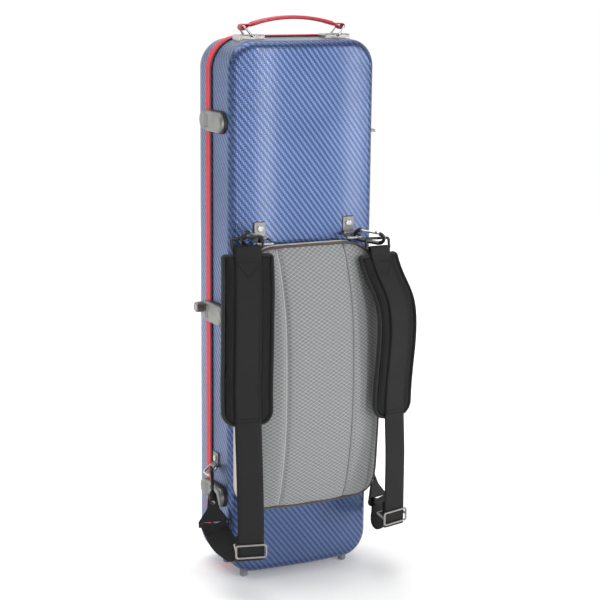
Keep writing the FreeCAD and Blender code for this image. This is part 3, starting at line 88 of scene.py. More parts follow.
class Signal:
    """A node's output that takes part in arithmetic; each operator adds one Math node."""

    __add__ = __radd__ = math_method("ADD")
    __sub__ = math_method("SUBTRACT")
    __rsub__ = math_method("SUBTRACT", reflected=True)
    __mul__ = __rmul__ = math_method("MULTIPLY")
    __truediv__ = math_method("DIVIDE")
    __abs__ = math_method("ABSOLUTE")
    __lt__ = math_method("LESS_THAN")
    __gt__ = math_method("GREATER_THAN")
    floor = math_method("FLOOR")
    fraction = math_method("FRACT")
    root = math_method("SQRT")
    wrap = math_method("FLOORED_MODULO")
    smallest = math_method("MINIMUM")

    def __init__(self, sheet: "NodeSheet", socket: bpy.types.NodeSocket) -> None:
        """Wrap a socket of a sheet."""
        self.sheet = sheet
        self.socket = socket

    def __neg__(self) -> "Signal":
        """Opposite."""
        return self * -1.0

    def step(self, low: float, high: float) -> "Signal":
        """Smooth step from 0 at low to 1 at high."""
        settings = {"interpolation_type": "SMOOTHSTEP"}
        return self.sheet.node("ShaderNodeMapRange", settings, {0: self, 1: low, 2: high, 3: 0.0, 4: 1.0})

    def ridge(self) -> "Signal":
        """Rounded ridge over each unit: 1 - (2 fraction - 1) squared."""
        across = self.fraction() * 2.0 - 1.0
        return 1.0 - across * across

    def pick(self, low: "Signal", high: "Signal") -> "Signal":
        """The low signal where this is 0 and the high one where it is 1."""
        return low + (high - low) * self


class NodeSheet:
    """One material's nodes."""

    def __init__(self, name: str) -> None:
        """Start an empty material."""
        self.material = bpy.data.materials.new(name)
        self.material.use_nodes = True
        self.tree = self.material.node_tree
        self.tree.nodes.clear()

    def node(self, kind: str, settings: dict | None = None, inputs: dict | None = None,
             output: object = 0) -> Signal:
        """Add any node.

        Args:
            kind: The node's type.
            settings: Properties to set first.
            inputs: Values or signals by socket name or index.
            output: Name or index of the output that is returned.

        Returns:
            The chosen output.
        """
        made = self.tree.nodes.new(kind)
        for key, value in (settings or {}).items():
            setattr(made, key, value)
        for key, value in (inputs or {}).items():
            if isinstance(value, Signal):
                self.tree.links.new(value.socket, made.inputs[key])
            else:
                made.inputs[key].default_value = value
        return Signal(self, made.outputs[output])

    def place(self) -> tuple[Signal, Signal, Signal]:
        """Object coordinates as three signals, in metres."""
        return self.split(self.node("ShaderNodeTexCoord", output="Object"))

    def split(self, vector: Signal) -> tuple[Signal, Signal, Signal]:
        """The three parts of a vector."""
        parts = self.node("ShaderNodeSeparateXYZ", None, {0: vector}).socket.node.outputs
        return tuple(Signal(self, part) for part in parts)

    def facing(self) -> tuple[Signal, Signal, Signal]:
        """Sizes of the three parts of the surface's direction in the object's own axes."""
        return tuple(abs(part) for part in self.split(self.node("ShaderNodeTexCoord", output="Normal")))

    def strip(self) -> tuple[Signal, Signal]:
        """Distance across and along a strap, in metres, from the piece's own UV map."""
        across, along, _ = self.split(self.node("ShaderNodeTexCoord", output="UV"))
        return across, along

    def mix(self, factor: object, low: object, high: object) -> Signal:
        """Blend two colours."""
        low, high = ((*c, 1.0) if isinstance(c, tuple) else c for c in (low, high))
        return self.node("ShaderNodeMix", {"data_type": "RGBA"}, {0: factor, 6: low, 7: high}, 2)

    def cloud(self, scale: float, detail: float = 2.0, vector: Signal | None = None) -> Signal:
        """Soft noise between 0 and 1.

        Args:
            scale: Cycles per metre.
            detail: Octaves.
            vector: Coordinates; Object coordinates where left out.

        Returns:
            The noise.
        """
        where = vector or self.node("ShaderNodeTexCoord", output="Object")
        return self.node("ShaderNodeTexNoise", None, {"Vector": where, "Scale": scale, "Detail": detail})

    def bump(self, height: Signal, distance: float, strength: float = 1.0) -> Signal:
        """Surface direction bent by a height between 0 and 1.

        Args:
            height: The height.
            distance: Depth in metres.
            strength: Share of the effect.

        Returns:
            The bent direction.
        """
        return self.node("ShaderNodeBump", None,
                         {"Height": height, "Distance": distance, "Strength": strength})

    def finish(self, **sockets: object) -> bpy.types.Material:
        """Close the material with one Principled shader.

        Args:
            sockets: Values or signals, with underscores for the spaces of socket names.

        Returns:
            The material.
        """
        inputs = {}
        for key, value in sockets.items():
            inputs[key.replace("_", " ")] = (*value, 1.0) if isinstance(value, tuple) else value
        shader = self.node("ShaderNodeBsdfPrincipled", None, inputs)
        end = self.tree.nodes.new("ShaderNodeOutputMaterial")
        self.tree.links.new(shader.socket, end.inputs[0])
        return self.material


# ---------------------------------------------------------------- finishes
@dataclass(frozen=True)
class TwillLacquer:
    """Twill cloth under coloured clear lacquer: two over, two under, in steep stripes; the tows carry painted
    reflection and painted shade in their colour.
    """

    name: str = "twill_lacquer"
    # dark and light: blue of the tows in painted shade and in painted reflection
    dark: Colour = (0.006, 0.015, 0.068)
    light: Colour = (0.122, 0.186, 0.365)
    tow_across: float = 2.1 * MM
    tow_along: float = 2.65 * MM
    roughness: float = 0.30
    metallic: float = 0.88

    def build(self) -> bpy.types.Material:
        """Make the material."""
        sheet = NodeSheet(self.name)
        x, y, z = sheet.place()
        nx, ny, nz = sheet.facing()
        side = (nx > ny) * (nx > nz)
        end = (nz > ny) * (nz > nx)
        across = side.pick(x, -y) / self.tow_across
        along = end.pick(z, y) / self.tow_along
        over = (across.floor() + along.floor()).wrap(4.0) < 1.5
        tow = over.pick(along.ridge(), across.ridge())
        drift = sheet.cloud(9.0).step(0.25, 0.75)
        # painted reflection: one set of tows is coloured lighter than the other, and each tow is lighter over
        # its crown as painted shade
        painted_tow_sheen = over * 0.52 + 0.18 + tow * 0.20
        colour = sheet.mix(painted_tow_sheen * (0.80 + drift * 0.2), self.dark, self.light)
        return sheet.finish(
            Base_Color=colour, Metallic=self.metallic,
            Roughness=self.roughness + (1.0 - over) * 0.08,
            Coat_Weight=0.35, Coat_Roughness=0.16, Coat_IOR=1.45,
            Normal=sheet.bump(tow, 0.28 * MM, 0.8))


@dataclass(frozen=True)
class Lacquer:
    """Plain glossy coloured lacquer with a faint ripple."""

    name: str
    colour: Colour
    roughness: float = 0.28
    coat: float = 0.8
    gleam: float = 0.5

    def build(self) -> bpy.types.Material:
        """Make the material."""
        sheet = NodeSheet(self.name)
        drift = sheet.cloud(40.0)
        deep = tuple(c * 0.86 for c in self.colour)
        return sheet.finish(
            Base_Color=sheet.mix(drift.step(0.3, 0.7), deep, self.colour),
            Roughness=self.roughness + drift * 0.08, Coat_Weight=self.coat, Coat_Roughness=0.08,
            Specular_IOR_Level=self.gleam,
            Normal=sheet.bump(sheet.cloud(900.0), 0.01 * MM, 0.4))


@dataclass(frozen=True)
class Rubber:
    """Matt rubber with a fine grain."""

    name: str
    colour: Colour
    roughness: float = 0.62

    def build(self) -> bpy.types.Material:
        """Make the material."""
        sheet = NodeSheet(self.name)
        grain = sheet.cloud(1800.0, 3.0)
        worn = sheet.cloud(60.0).step(0.35, 0.7)
        pale = tuple(min(1.0, c * 1.45 + 0.004) for c in self.colour)
        return sheet.finish(
            Base_Color=sheet.mix(worn, self.colour, pale), Roughness=self.roughness - worn * 0.1,
            Normal=sheet.bump(grain, 0.05 * MM, 0.5))


class Grain(Enum):
    """Direction of a metal's fine lines, as the cycles left level and upright."""

    NONE = (1.0, 1.0)
    UPWARDS = (1.0, 0.03)
    ACROSS = (0.03, 1.0)


@dataclass(frozen=True)
class Metal:
    """Satin or bright metal with fine lines and faint smudges."""

    name: str
    colour: Colour
    roughness: float
    grain: Grain = Grain.NONE
    metallic: float = 1.0
    smudge: float = 0.12

    def build(self) -> bpy.types.Material:
        """Make the material."""
        sheet = NodeSheet(self.name)
        x, y, z = sheet.place()
        flat, upright = self.grain.value
        vector = sheet.node("ShaderNodeCombineXYZ", None, {0: x * flat, 1: y * flat, 2: z * upright})
        lines = sheet.cloud(2600.0, 2.0, vector)
        smudge = sheet.cloud(70.0).step(0.35, 0.75)
        dull = tuple(c * 0.8 for c in self.colour)
        return sheet.finish(
            Base_Color=sheet.mix(lines * 0.5 + smudge * 0.3, self.colour, dull), Metallic=self.metallic,
            Roughness=self.roughness + smudge * self.smudge + lines * 0.06,
            Normal=sheet.bump(lines, 0.02 * MM, 0.5))


@dataclass(frozen=True)
class Webbing:
    """Woven tape: ribs across the strap, a fine weave and darker selvedges."""

    name: str
    colour: Colour
    pale: Colour
    half_width: float = 19.0 * MM
    rib: float = 1.25 * MM
    yarn: float = 0.9 * MM

    def build(self) -> bpy.types.Material:
        """Make the material."""
        sheet = NodeSheet(self.name)
        across, along = sheet.strip()
        row = (along / self.rib).floor()
        shift = row.wrap(2.0) * 0.5
        rib = (along / self.rib).ridge()
        yarn = (across / self.yarn + shift).ridge()
        edge = abs(across).step(self.half_width - 2.2 * MM, self.half_width - 0.8 * MM)
        height = rib * 0.6 + yarn * 0.4
        tone = height * 0.55 + sheet.cloud(25.0) * 0.45
        colour = sheet.mix(tone * (1.0 - edge * 0.7), self.colour, self.pale)
        return sheet.finish(
            Base_Color=colour, Roughness=0.80 - height * 0.14, Sheen_Weight=0.03, Sheen_Roughness=0.4,
            Specular_IOR_Level=0.22, Normal=sheet.bump(height, 0.25 * MM, 0.6))


@dataclass(frozen=True)
class RibbedMesh:
    """Knitted mesh with ribs along the strap, as on the sides of a shoulder pad."""

    name: str
    colour: Colour
    pale: Colour
    rib: float = 2.3 * MM

    def build(self) -> bpy.types.Material:
        """Make the material."""
        sheet = NodeSheet(self.name)
        x, y, z = sheet.place()
        rib = ((x + y * 0.35) / self.rib).ridge()
        loop = (z / (1.4 * MM)).ridge()
        height = rib * 0.65 + loop * 0.35
        return sheet.finish(
            Base_Color=sheet.mix(height, self.colour, self.pale), Roughness=0.9, Sheen_Weight=0.02,
            Sheen_Roughness=0.5, Specular_IOR_Level=0.12, Normal=sheet.bump(height, 0.5 * MM, 0.8))


@dataclass(frozen=True)
class SpacerMesh:
    """Airy spacer fabric: pale yarns crossing in flat diamonds over a darker, pored ground."""

    name: str = "spacer_mesh"
    ground: Colour = (0.205, 0.213, 0.215)
    yarn: Colour = (0.600, 0.614, 0.614)
    pore: Colour = (0.112, 0.118, 0.120)
    diamond_across: float = 8.8 * MM
    diamond_along: float = 5.6 * MM

    def build(self) -> bpy.types.Material:
        """Make the material."""
        sheet = NodeSheet(self.name)
        x, y, z = sheet.place()
        wave = (sheet.cloud(14.0) - 0.5) * 0.35
        u = x / self.diamond_across
        v = z / self.diamond_along
        first = (u + v + wave).fraction() - 0.5
        second = (u - v + wave).fraction() - 0.5
        near = abs(first).smallest(abs(second))
        line = 1.0 - near.step(0.015, 0.072)
        hole = ((u * 5.0).ridge() * (v * 4.0).ridge()).step(0.35, 0.8)
        base = sheet.mix(hole * 0.30, self.ground, self.pore)
        colour = sheet.mix(line * (0.65 + sheet.cloud(220.0) * 0.3), base, self.yarn)
        height = line * 0.75 + (1.0 - hole) * 0.25
        return sheet.finish(
            Base_Color=colour, Roughness=0.88, Sheen_Weight=0.1, Sheen_Roughness=0.5,
            Normal=sheet.bump(height, 0.3 * MM, 0.4))


@dataclass(frozen=True)
class Cloth:
    """Plain woven or short-piled cloth."""

    name: str
    colour: Colour
    pale: Colour
    thread: float = 0.8 * MM
    depth: float = 0.15 * MM
    sheen: float = 0.08
    roughness: float = 0.9

    def build(self) -> bpy.types.Material:
        """Make the material."""
        sheet = NodeSheet(self.name)
        x, y, z = sheet.place()
        weave = ((x + y) / self.thread).ridge() * 0.5 + (z / self.thread).ridge() * 0.5
        nap = sheet.cloud(35.0, 3.0)
        return sheet.finish(
            Base_Color=sheet.mix(weave * 0.35 + nap * 0.65, self.colour, self.pale),
            Roughness=self.roughness, Sheen_Weight=self.sheen, Sheen_Roughness=0.4,
            Normal=sheet.bump(weave, self.depth, 0.5))


@dataclass(frozen=True)
class Leather:
    """Smooth coated leather with a pebbled grain."""

    name: str
    colour: Colour
    deep: Colour
    roughness: float = 0.42

    def build(self) -> bpy.types.Material:
        """Make the material."""
        sheet = NodeSheet(self.name)
        where = sheet.node("ShaderNodeTexCoord", output="Object")
        cells = sheet.node("ShaderNodeTexVoronoi", {"feature": "DISTANCE_TO_EDGE"},
                           {"Vector": where, "Scale": 1100.0})
        grain = cells.step(0.0, 0.25)
        drift = sheet.cloud(30.0)
        return sheet.finish(
            Base_Color=sheet.mix(grain * 0.6 + drift * 0.4, self.deep, self.colour),
            Roughness=self.roughness + (1.0 - grain) * 0.15, Coat_Weight=0.25, Coat_Roughness=0.25,
            Normal=sheet.bump(grain, 0.06 * MM, 0.5))


@dataclass(frozen=True)
class StudioPaper:
    """Plain pale floor that fades to glowing white far from the case."""

    name: str = "studio_paper"
    colour: Colour = (0.93, 0.93, 0.93)
    glow: Colour = (0.14, 0.14, 0.14)
    far_colour: Colour = (0.02, 0.02, 0.02)
    far_glow: Colour = (0.99, 0.99, 0.99)
    fade_from: float = 2.2
    fade_to: float = 3.7

    def build(self) -> bpy.types.Material:
        """Make the material."""
        sheet = NodeSheet(self.name)
        x, y, _ = sheet.place()
        far = (x * x + y * y).root().step(self.fade_from, self.fade_to)
        return sheet.finish(Base_Color=sheet.mix(far, self.colour, self.far_colour), Roughness=0.95,
                            Specular_IOR_Level=0.0, Emission_Strength=1.0,
                            Emission_Color=sheet.mix(far, self.glow, self.far_glow))


class Palette:
    """Every finish of the case, built once and shared."""

    def __init__(self) -> None:
        """Build the materials."""
        self.shell = TwillLacquer().build()
        self.rim = Lacquer("rim_lacquer", (0.66, 0.012, 0.034), 0.38, 0.0, 0.25).build()
        self.black_rubber = Rubber("black_rubber", (0.012, 0.012, 0.013)).build()
        self.grey_rubber = Rubber("grey_rubber", (0.19, 0.19, 0.20)).build()
        self.satin = Metal("satin_metal", (0.245, 0.245, 0.24), 0.38, Grain.UPWARDS, 0.9).build()
        self.bright = Metal("bright_metal", (0.52, 0.51, 0.50), 0.20, Grain.NONE).build()
        self.slider = Metal("slider_metal", (0.36, 0.34, 0.31), 0.28, Grain.ACROSS).build()
        self.black_metal = Metal("black_enamel", (0.004, 0.004, 0.005), 0.24, Grain.NONE, 0.0, 0.05).build()
        self.webbing = Webbing("strap_webbing", (0.0075, 0.0075, 0.008), (0.019, 0.019, 0.020)).build()
        self.pad_mesh = RibbedMesh("pad_mesh", (0.006, 0.006, 0.006), (0.022, 0.022, 0.023)).build()
        self.binding = Cloth("pad_binding", (0.009, 0.009, 0.010), (0.020, 0.020, 0.021),
                             1.1 * MM, 0.25 * MM).build()
        self.thread = Cloth("black_thread", (0.002, 0.002, 0.002), (0.006, 0.006, 0.006), 0.4 * MM).build()
        self.grey_thread = Cloth("grey_thread", (0.40, 0.41, 0.41), (0.55, 0.56, 0.56), 0.4 * MM).build()
        # cord of the right seam, coloured dark as painted shade
        self.painted_shade_cord = Cloth("painted_shade_cord", (0.10, 0.105, 0.105), (0.17, 0.175, 0.175), 0.6 * MM).build()
        self.spacer = SpacerMesh().build()
        self.band = Cloth("cushion_band", (0.52, 0.46, 0.42), (0.68, 0.62, 0.58), 0.9 * MM, 0.2 * MM).build()
        self.piping = Cloth("cushion_piping", (0.050, 0.038, 0.035), (0.11, 0.088, 0.08), 0.7 * MM).build()
        self.pale_piping = Cloth("pale_piping", (0.42, 0.43, 0.42), (0.60, 0.60, 0.59), 0.7 * MM).build()
        self.leather = Leather("grip_leather", (0.58, 0.024, 0.046), (0.36, 0.010, 0.022)).build()
        self.red_thread = Cloth("red_thread", (0.60, 0.07, 0.09), (0.78, 0.16, 0.18), 0.4 * MM).build()
        self.plush = Cloth("lining_plush", (0.030, 0.032, 0.040), (0.064, 0.068, 0.082),
                           0.5 * MM, 0.1 * MM, 0.35).build()
        self.plastic = Rubber("black_plastic", (0.018, 0.018, 0.019), 0.38).build()


# ---------------------------------------------------------------- surfaces
def grid_faces(rows: int, columns: int, ring_rows: bool, ring_columns: bool) -> np.ndarray:
    """Quads of a grid of points, as vertex indices.

    Args:
        rows: Rows of points.
        columns: Columns of points.
        ring_rows: Whether the last row joins the first.
        ring_columns: Whether the last column joins the first.

    Returns:
        One row of four indices for each face.
    """
    r = np.arange(rows if ring_rows else rows - 1)
    c = np.arange(columns if ring_columns else columns - 1)
    rr, cc = (a.ravel() for a in np.meshgrid(r, c, indexing="ij"))
    corners = ((rr, cc), (rr, cc + 1), (rr + 1, cc + 1), (rr + 1, cc))
    return np.stack([(row % rows) * columns + column % columns for row, column in corners], -1)


def surface(name: str, points: np.ndarray, material: bpy.types.Material, ring_rows: bool = False,
            ring_columns: bool = False, caps: bool = False,
            strip: np.ndarray | None = None) -> bpy.types.Object:
    """Object from a grid of points.

    Args:
        name: Name of the object.
        points: Rows by columns by three coordinates.
        material: Finish of the whole surface.
        ring_rows: Whether the rows close on themselves.
        ring_columns: Whether the columns close on themselves.
        caps: Whether the first and last rows are closed with a centre point each.
        strip: Rows by columns by two UV coordinates, in metres.

    Returns:
        The object, shaded smooth, with faces pointing outwards.
    """
    rows, columns, _ = points.shape
    vertices = points.reshape(-1, 3)
    faces = grid_faces(rows, columns, ring_rows, ring_columns).tolist()
    if caps:
        centres = np.stack([points[0].mean(0), points[-1].mean(0)])
        base = len(vertices)
        vertices = np.concatenate([vertices, centres])
        turn = np.arange(columns)
        for row, centre in ((0, base), (rows - 1, base + 1)):
            faces += np.stack([np.full(columns, centre), row * columns + turn,
                               row * columns + (turn + 1) % columns], -1).tolist()
    mesh = bpy.data.meshes.new(name)
    mesh.from_pydata(vertices.tolist(), [], faces)
    mesh.materials.append(material)
    if strip is not None:
        write_strip(mesh, strip.reshape(-1, 2), len(vertices))
    return dressed(name, mesh)


def write_strip(mesh: bpy.types.Mesh, strip: np.ndarray, count: int) -> None:
    """Store UV coordinates given per vertex.

    Args:
        mesh: The mesh.
        strip: Two coordinates for each vertex of the grid.
        count: Number of vertices, with those of the caps.
    """
    full = np.zeros((count, 2))
    full[:len(strip)] = strip
    corner = np.zeros(len(mesh.loops), np.int32)
    mesh.loops.foreach_get("vertex_index", corner)
    layer = mesh.uv_layers.new(name="strip")
    layer.data.foreach_set("uv", full[corner].astype(np.float32).ravel())


def dressed(name: str, mesh: bpy.types.Mesh) -> bpy.types.Object:
    """Object in the scene for a mesh, with outward faces and smooth shading."""
    work = bmesh.new()
    work.from_mesh(mesh)
    bmesh.ops.recalc_face_normals(work, faces=work.faces)
    work.to_mesh(mesh)
    work.free()
    mesh.shade_smooth()
    made = bpy.data.objects.new(name, mesh)
    bpy.context.scene.collection.objects.link(made)
    return made


def coordinates(piece: bpy.types.Object) -> np.ndarray:
    """Vertex positions of a piece."""
    flat = np.zeros(len(piece.data.vertices) * 3)
    piece.data.vertices.foreach_get("co", flat)
    return flat.reshape(-1, 3)


def move_to(piece: bpy.types.Object, points: np.ndarray) -> None:
    """Write vertex positions of a piece."""
    piece.data.vertices.foreach_set("co", points.astype(np.float32).ravel())
    piece.data.update()


def unit(vectors: np.ndarray) -> np.ndarray:
    """Vectors of length one."""
    return vectors / np.maximum(np.linalg.norm(vectors, axis=-1, keepdims=True), 1e-12)


def signed_power(values: np.ndarray, power: float) -> np.ndarray:
    """Size of each value raised to a power, with the value's sign."""
    return np.sign(values) * abs(values) ** power


def spline_values(knots: np.ndarray, values: np.ndarray, at: np.ndarray) -> np.ndarray:
    """Natural cubic spline through values at knots.

    Args:
        knots: Rising positions.
        values: One row of numbers for each knot.
        at: Positions where the spline is wanted.

    Returns:
        One row for each position.
    """
    h = np.diff(knots)[:, None]
    slope = np.diff(values, axis=0) / h
    matrix, right = np.eye(len(knots)), np.zeros_like(values)
    inner = np.arange(1, len(knots) - 1)
    matrix[inner, inner - 1] = h[:-1, 0]
    matrix[inner, inner] = 2 * (h[:-1, 0] + h[1:, 0])
    matrix[inner, inner + 1] = h[1:, 0]
    right[1:-1] = 6 * np.diff(slope, axis=0)
    bend = np.linalg.solve(matrix, right)
    i = np.clip(np.searchsorted(knots, at, side="right") - 1, 0, len(knots) - 2)
    a, b = (knots[i + 1] - at)[:, None], (at - knots[i])[:, None]
    step = h[i]
    curve = (bend[i] * a ** 3 + bend[i + 1] * b ** 3) / (6 * step)
    curve += (values[i] / step - bend[i] * step / 6) * a
    return curve + (values[i + 1] / step - bend[i + 1] * step / 6) * b


def run_along(points: np.ndarray) -> np.ndarray:
    """Distance from the first point of a polyline to each of its points."""
    return np.concatenate([[0.0], np.cumsum(np.linalg.norm(np.diff(points, axis=0), axis=1))])


def smooth_route(points: Sequence[Sequence[float]], count: int) -> np.ndarray:
    """Natural cubic spline through points, with parameters that follow the distance between them.

    Args:
        points: The points.
        count: Number of points returned, evenly spaced along the curve.

    Returns:
        Array of points.
    """
    knots = np.asarray(points, float)
    run = run_along(knots)
    return even(spline_values(run, knots, np.linspace(0, run[-1], count * 8)), count)


def even(points: np.ndarray, count: int) -> np.ndarray:
    """Points evenly spaced along a polyline."""
    run = run_along(points)
    return between(np.linspace(0, run[-1], count), run, points)


def between(at: np.ndarray, run: np.ndarray, rows: np.ndarray) -> np.ndarray:
    """Rows of three numbers, given at rising positions, read off in between."""
    return np.stack([np.interp(at, run, rows[:, k]) for k in range(3)], -1)


def rings(tangent: np.ndarray, sides: int, squeeze: float = 1.0) -> np.ndarray:
    """Circle of unit radius square to each direction.

    Args:
        tangent: Unit directions.
        sides: Points round the circle.
        squeeze: Height of the section over its width.

    Returns:
        Directions by sides by three offsets.
    """
    first = unit(np.cross(tangent, [0.0, -1.0, 0.0]) + 1e-9)
    second = np.cross(first, tangent)
    angle = np.linspace(0, 2 * np.pi, sides, endpoint=False)[None, :, None]
    return first[:, None] * np.cos(angle) + second[:, None] * np.sin(angle) * squeeze


def tube(name: str, path: np.ndarray, radius: float, material: bpy.types.Material,
         closed: bool = False, sides: int = 10, squeeze: float = 1.0) -> bpy.types.Object:
    """Round bar along a path: each ring is the path's point plus radius times (cos, sin) in its frame.

    Args:
        name: Name of the object.
        path: Points of the centreline.
        radius: Radius of the bar.
        material: Finish.
        closed: Whether the path closes on itself.
        sides: Points round the section.
        squeeze: Height of the section over its width.

    Returns:
        The object.
    """
    ahead = np.roll(path, -1, 0) - np.roll(path, 1, 0)
    if not closed:
        ahead[0], ahead[-1] = path[1] - path[0], path[-1] - path[-2]
    ring = rings(unit(ahead), sides, squeeze)
    return surface(name, path[:, None] + ring * radius, material, closed, True, not closed)


def stitches(name: str, lines: Sequence[np.ndarray], material: bpy.types.Material, pitch: float = 3.2 * MM,
             share: float = 0.68, radius: float = 0.38 * MM) -> bpy.types.Object:
    """Rows of short thread dashes: each is a small spindle between two points of its line.

    Args:
        name: Name of the object.
        lines: Polylines that the rows follow.
        material: Finish of the thread.
        pitch: Distance from one dash to the next.
        share: Part of the pitch that the dash fills.
        radius: Radius of the thread.

    Returns:
        One object with every dash.
    """
    sides, tenths = 5, 10
    starts, ends = [], []
    for line in lines:
        count = max(1, int(run_along(line)[-1] / pitch))
        fine = even(line, count * tenths + 1)
        index = np.arange(count) * tenths
        starts.append(fine[index])
        ends.append(fine[index + int(tenths * share)])
    start, end = np.concatenate(starts), np.concatenate(ends)
    along = end - start
    stations = np.array([0.0, 0.2, 0.8, 1.0])
    girth = np.array([0.35, 1.0, 1.0, 0.35]) * radius
    centre = start[:, None] + along[:, None] * stations[None, :, None]
    points = centre[:, :, None] + rings(unit(along), sides)[:, None] * girth[None, :, None, None]
    first_of = np.arange(len(start))[:, None, None] * (len(stations) * sides)
    round_faces = grid_faces(len(stations), sides, False, True)
    end_faces = np.array([[4, 3, 2, 1, 0], [15, 16, 17, 18, 19]])
    faces = [face for kind in (round_faces, end_faces)
             for face in (kind[None] + first_of).reshape(-1, kind.shape[1]).tolist()]
    mesh = bpy.data.meshes.new(name)
    mesh.from_pydata(points.reshape(-1, 3).tolist(), [], faces)
    mesh.materials.append(material)
    return dressed(name, mesh)


def apply_modifiers(piece: bpy.types.Object) -> None:
    """Make a piece's modifiers part of its mesh."""
    graph = bpy.context.evaluated_depsgraph_get()
    fresh = bpy.data.meshes.new_from_object(piece.evaluated_get(graph))
    piece.modifiers.clear()
    piece.data = fresh
    fresh.shade_smooth()


def subdivided(piece: bpy.types.Object, levels: int = 1) -> None:
    """Subdivide a piece's surface smoothly and keep the result."""
    modifier = piece.modifiers.new("round", "SUBSURF")
    modifier.levels = modifier.render_levels = levels
    apply_modifiers(piece)


@dataclass(frozen=True)
class Stuffing:
    """How a padded form swells: remesh, then cloth under pressure, with a cap on each point's travel."""

    voxel: float
    pressure: float
    cap: float
    frames: int = 20
    smoothing: int = 6

    def soften(self, piece: bpy.types.Object) -> None:
        """Remesh a closed piece evenly and relax its edges.

        Args:
            piece: The closed form.
        """
        remesh = piece.modifiers.new("even", "REMESH")
        remesh.mode = "VOXEL"
        remesh.voxel_size = self.voxel
        apply_modifiers(piece)
        relax = piece.modifiers.new("relax", "SMOOTH")
        relax.factor = 0.5
        relax.iterations = self.smoothing
        apply_modifiers(piece)

    def swell(self, piece: bpy.types.Object) -> None:
        """Blow a softened piece up with cloth under pressure and cap each point's travel.

        Args:
            piece: The softened form.
        """
        before = coordinates(piece)
        cloth = piece.modifiers.new("swell", "CLOTH")
        cloth.settings.use_pressure = True
        cloth.settings.uniform_pressure_force = self.pressure
        cloth.settings.effector_weights.gravity = 0.0
        cloth.settings.quality = 5
        cloth.point_cache.frame_end = self.frames
        for frame_number in range(1, self.frames + 1):
            bpy.context.scene.frame_set(frame_number)
        swollen = piece.evaluated_get(bpy.context.evaluated_depsgraph_get())
        flat = np.zeros(len(swollen.data.vertices) * 3)
        swollen.data.vertices.foreach_get("co", flat)
        travel = flat.reshape(-1, 3) - before
        length = np.linalg.norm(travel, axis=1, keepdims=True)
        travel *= np.minimum(1.0, self.cap / np.maximum(length, 1e-9))
        piece.modifiers.clear()
        bpy.context.scene.frame_set(1)
        move_to(piece, before + travel)


# ---------------------------------------------------------------- straps
@dataclass
class Band:
    """Stations along a strap: points, width directions, outward directions and distance run."""

    at: np.ndarray
    across: np.ndarray
    outward: np.ndarray
    run: np.ndarray

    @classmethod
    def along(cls, at: np.ndarray, across: np.ndarray) -> "Band":
        """Band through points, with each width direction made square to the route."""
        tangent = unit(np.gradient(at, axis=0))
        across = unit(across - tangent * (tangent * across).sum(-1, keepdims=True))
        return cls(at, across, unit(np.cross(tangent, across)), run_along(at))

    def part(self, first: int, last: int) -> "Band":
        """Stations from one index up to another."""
        cut = slice(first, last)
        return Band(self.at[cut], self.across[cut], self.outward[cut], self.run[cut])

    def index_at(self, height: float) -> int:
        """Station nearest to a height."""
        return int(np.argmin(abs(self.at[:, 2] - height)))

    def place(self, index: np.ndarray, across: np.ndarray, outward: np.ndarray) -> np.ndarray:
        """Points at distances across and outwards from stations given by fractional index."""
        fine = np.arange(len(self.at))
        base, wide, out = (between(index, fine, rows) for rows in (self.at, self.across, self.outward))
        return base + wide * across[..., None] + out * outward[..., None]

    def local(self, points: np.ndarray) -> tuple[np.ndarray, np.ndarray, np.ndarray]:
        """Nearest station of each point, and its distances across and outwards there."""
        gap = np.linalg.norm(points[:, None] - self.at[None], axis=2)
        near = gap.argmin(1)
        offset = points - self.at[near]
        return near, (offset * self.across[near]).sum(1), (offset * self.outward[near]).sum(1)

    def tape(self, name: str, width: float, thick: float, lift: float, material: bpy.types.Material,
             columns: int = 13) -> bpy.types.Object:
        """Thin tape: at each station a flat oval, thick times (1 - u^8)^(1/4) over u across its width.

        Args:
            name: Name of the object.
            width: Width of the tape.
            thick: Its thickness.
            lift: Outward distance of its middle from the stations.
            material: Finish, which reads the strip coordinates.
            columns: Points across one face.

        Returns:
            The closed tape.
        """
        u = np.linspace(-1, 1, columns)
        u = np.concatenate([u, u[-2:0:-1]])
        side = np.concatenate([np.ones(columns), -np.ones(columns - 2)])
        height = side * thick / 2 * np.maximum(1 - abs(u) ** 8, 0) ** 0.25
        wide = u * width / 2
        points = (self.at[:, None] + self.across[:, None] * wide[None, :, None]
                  + self.outward[:, None] * (height + lift)[None, :, None])
        strip = np.stack([np.broadcast_to(wide, points.shape[:2]),
                          np.broadcast_to(self.run[:, None], points.shape[:2])], -1)
        return surface(name, points, material, False, True, True, strip)


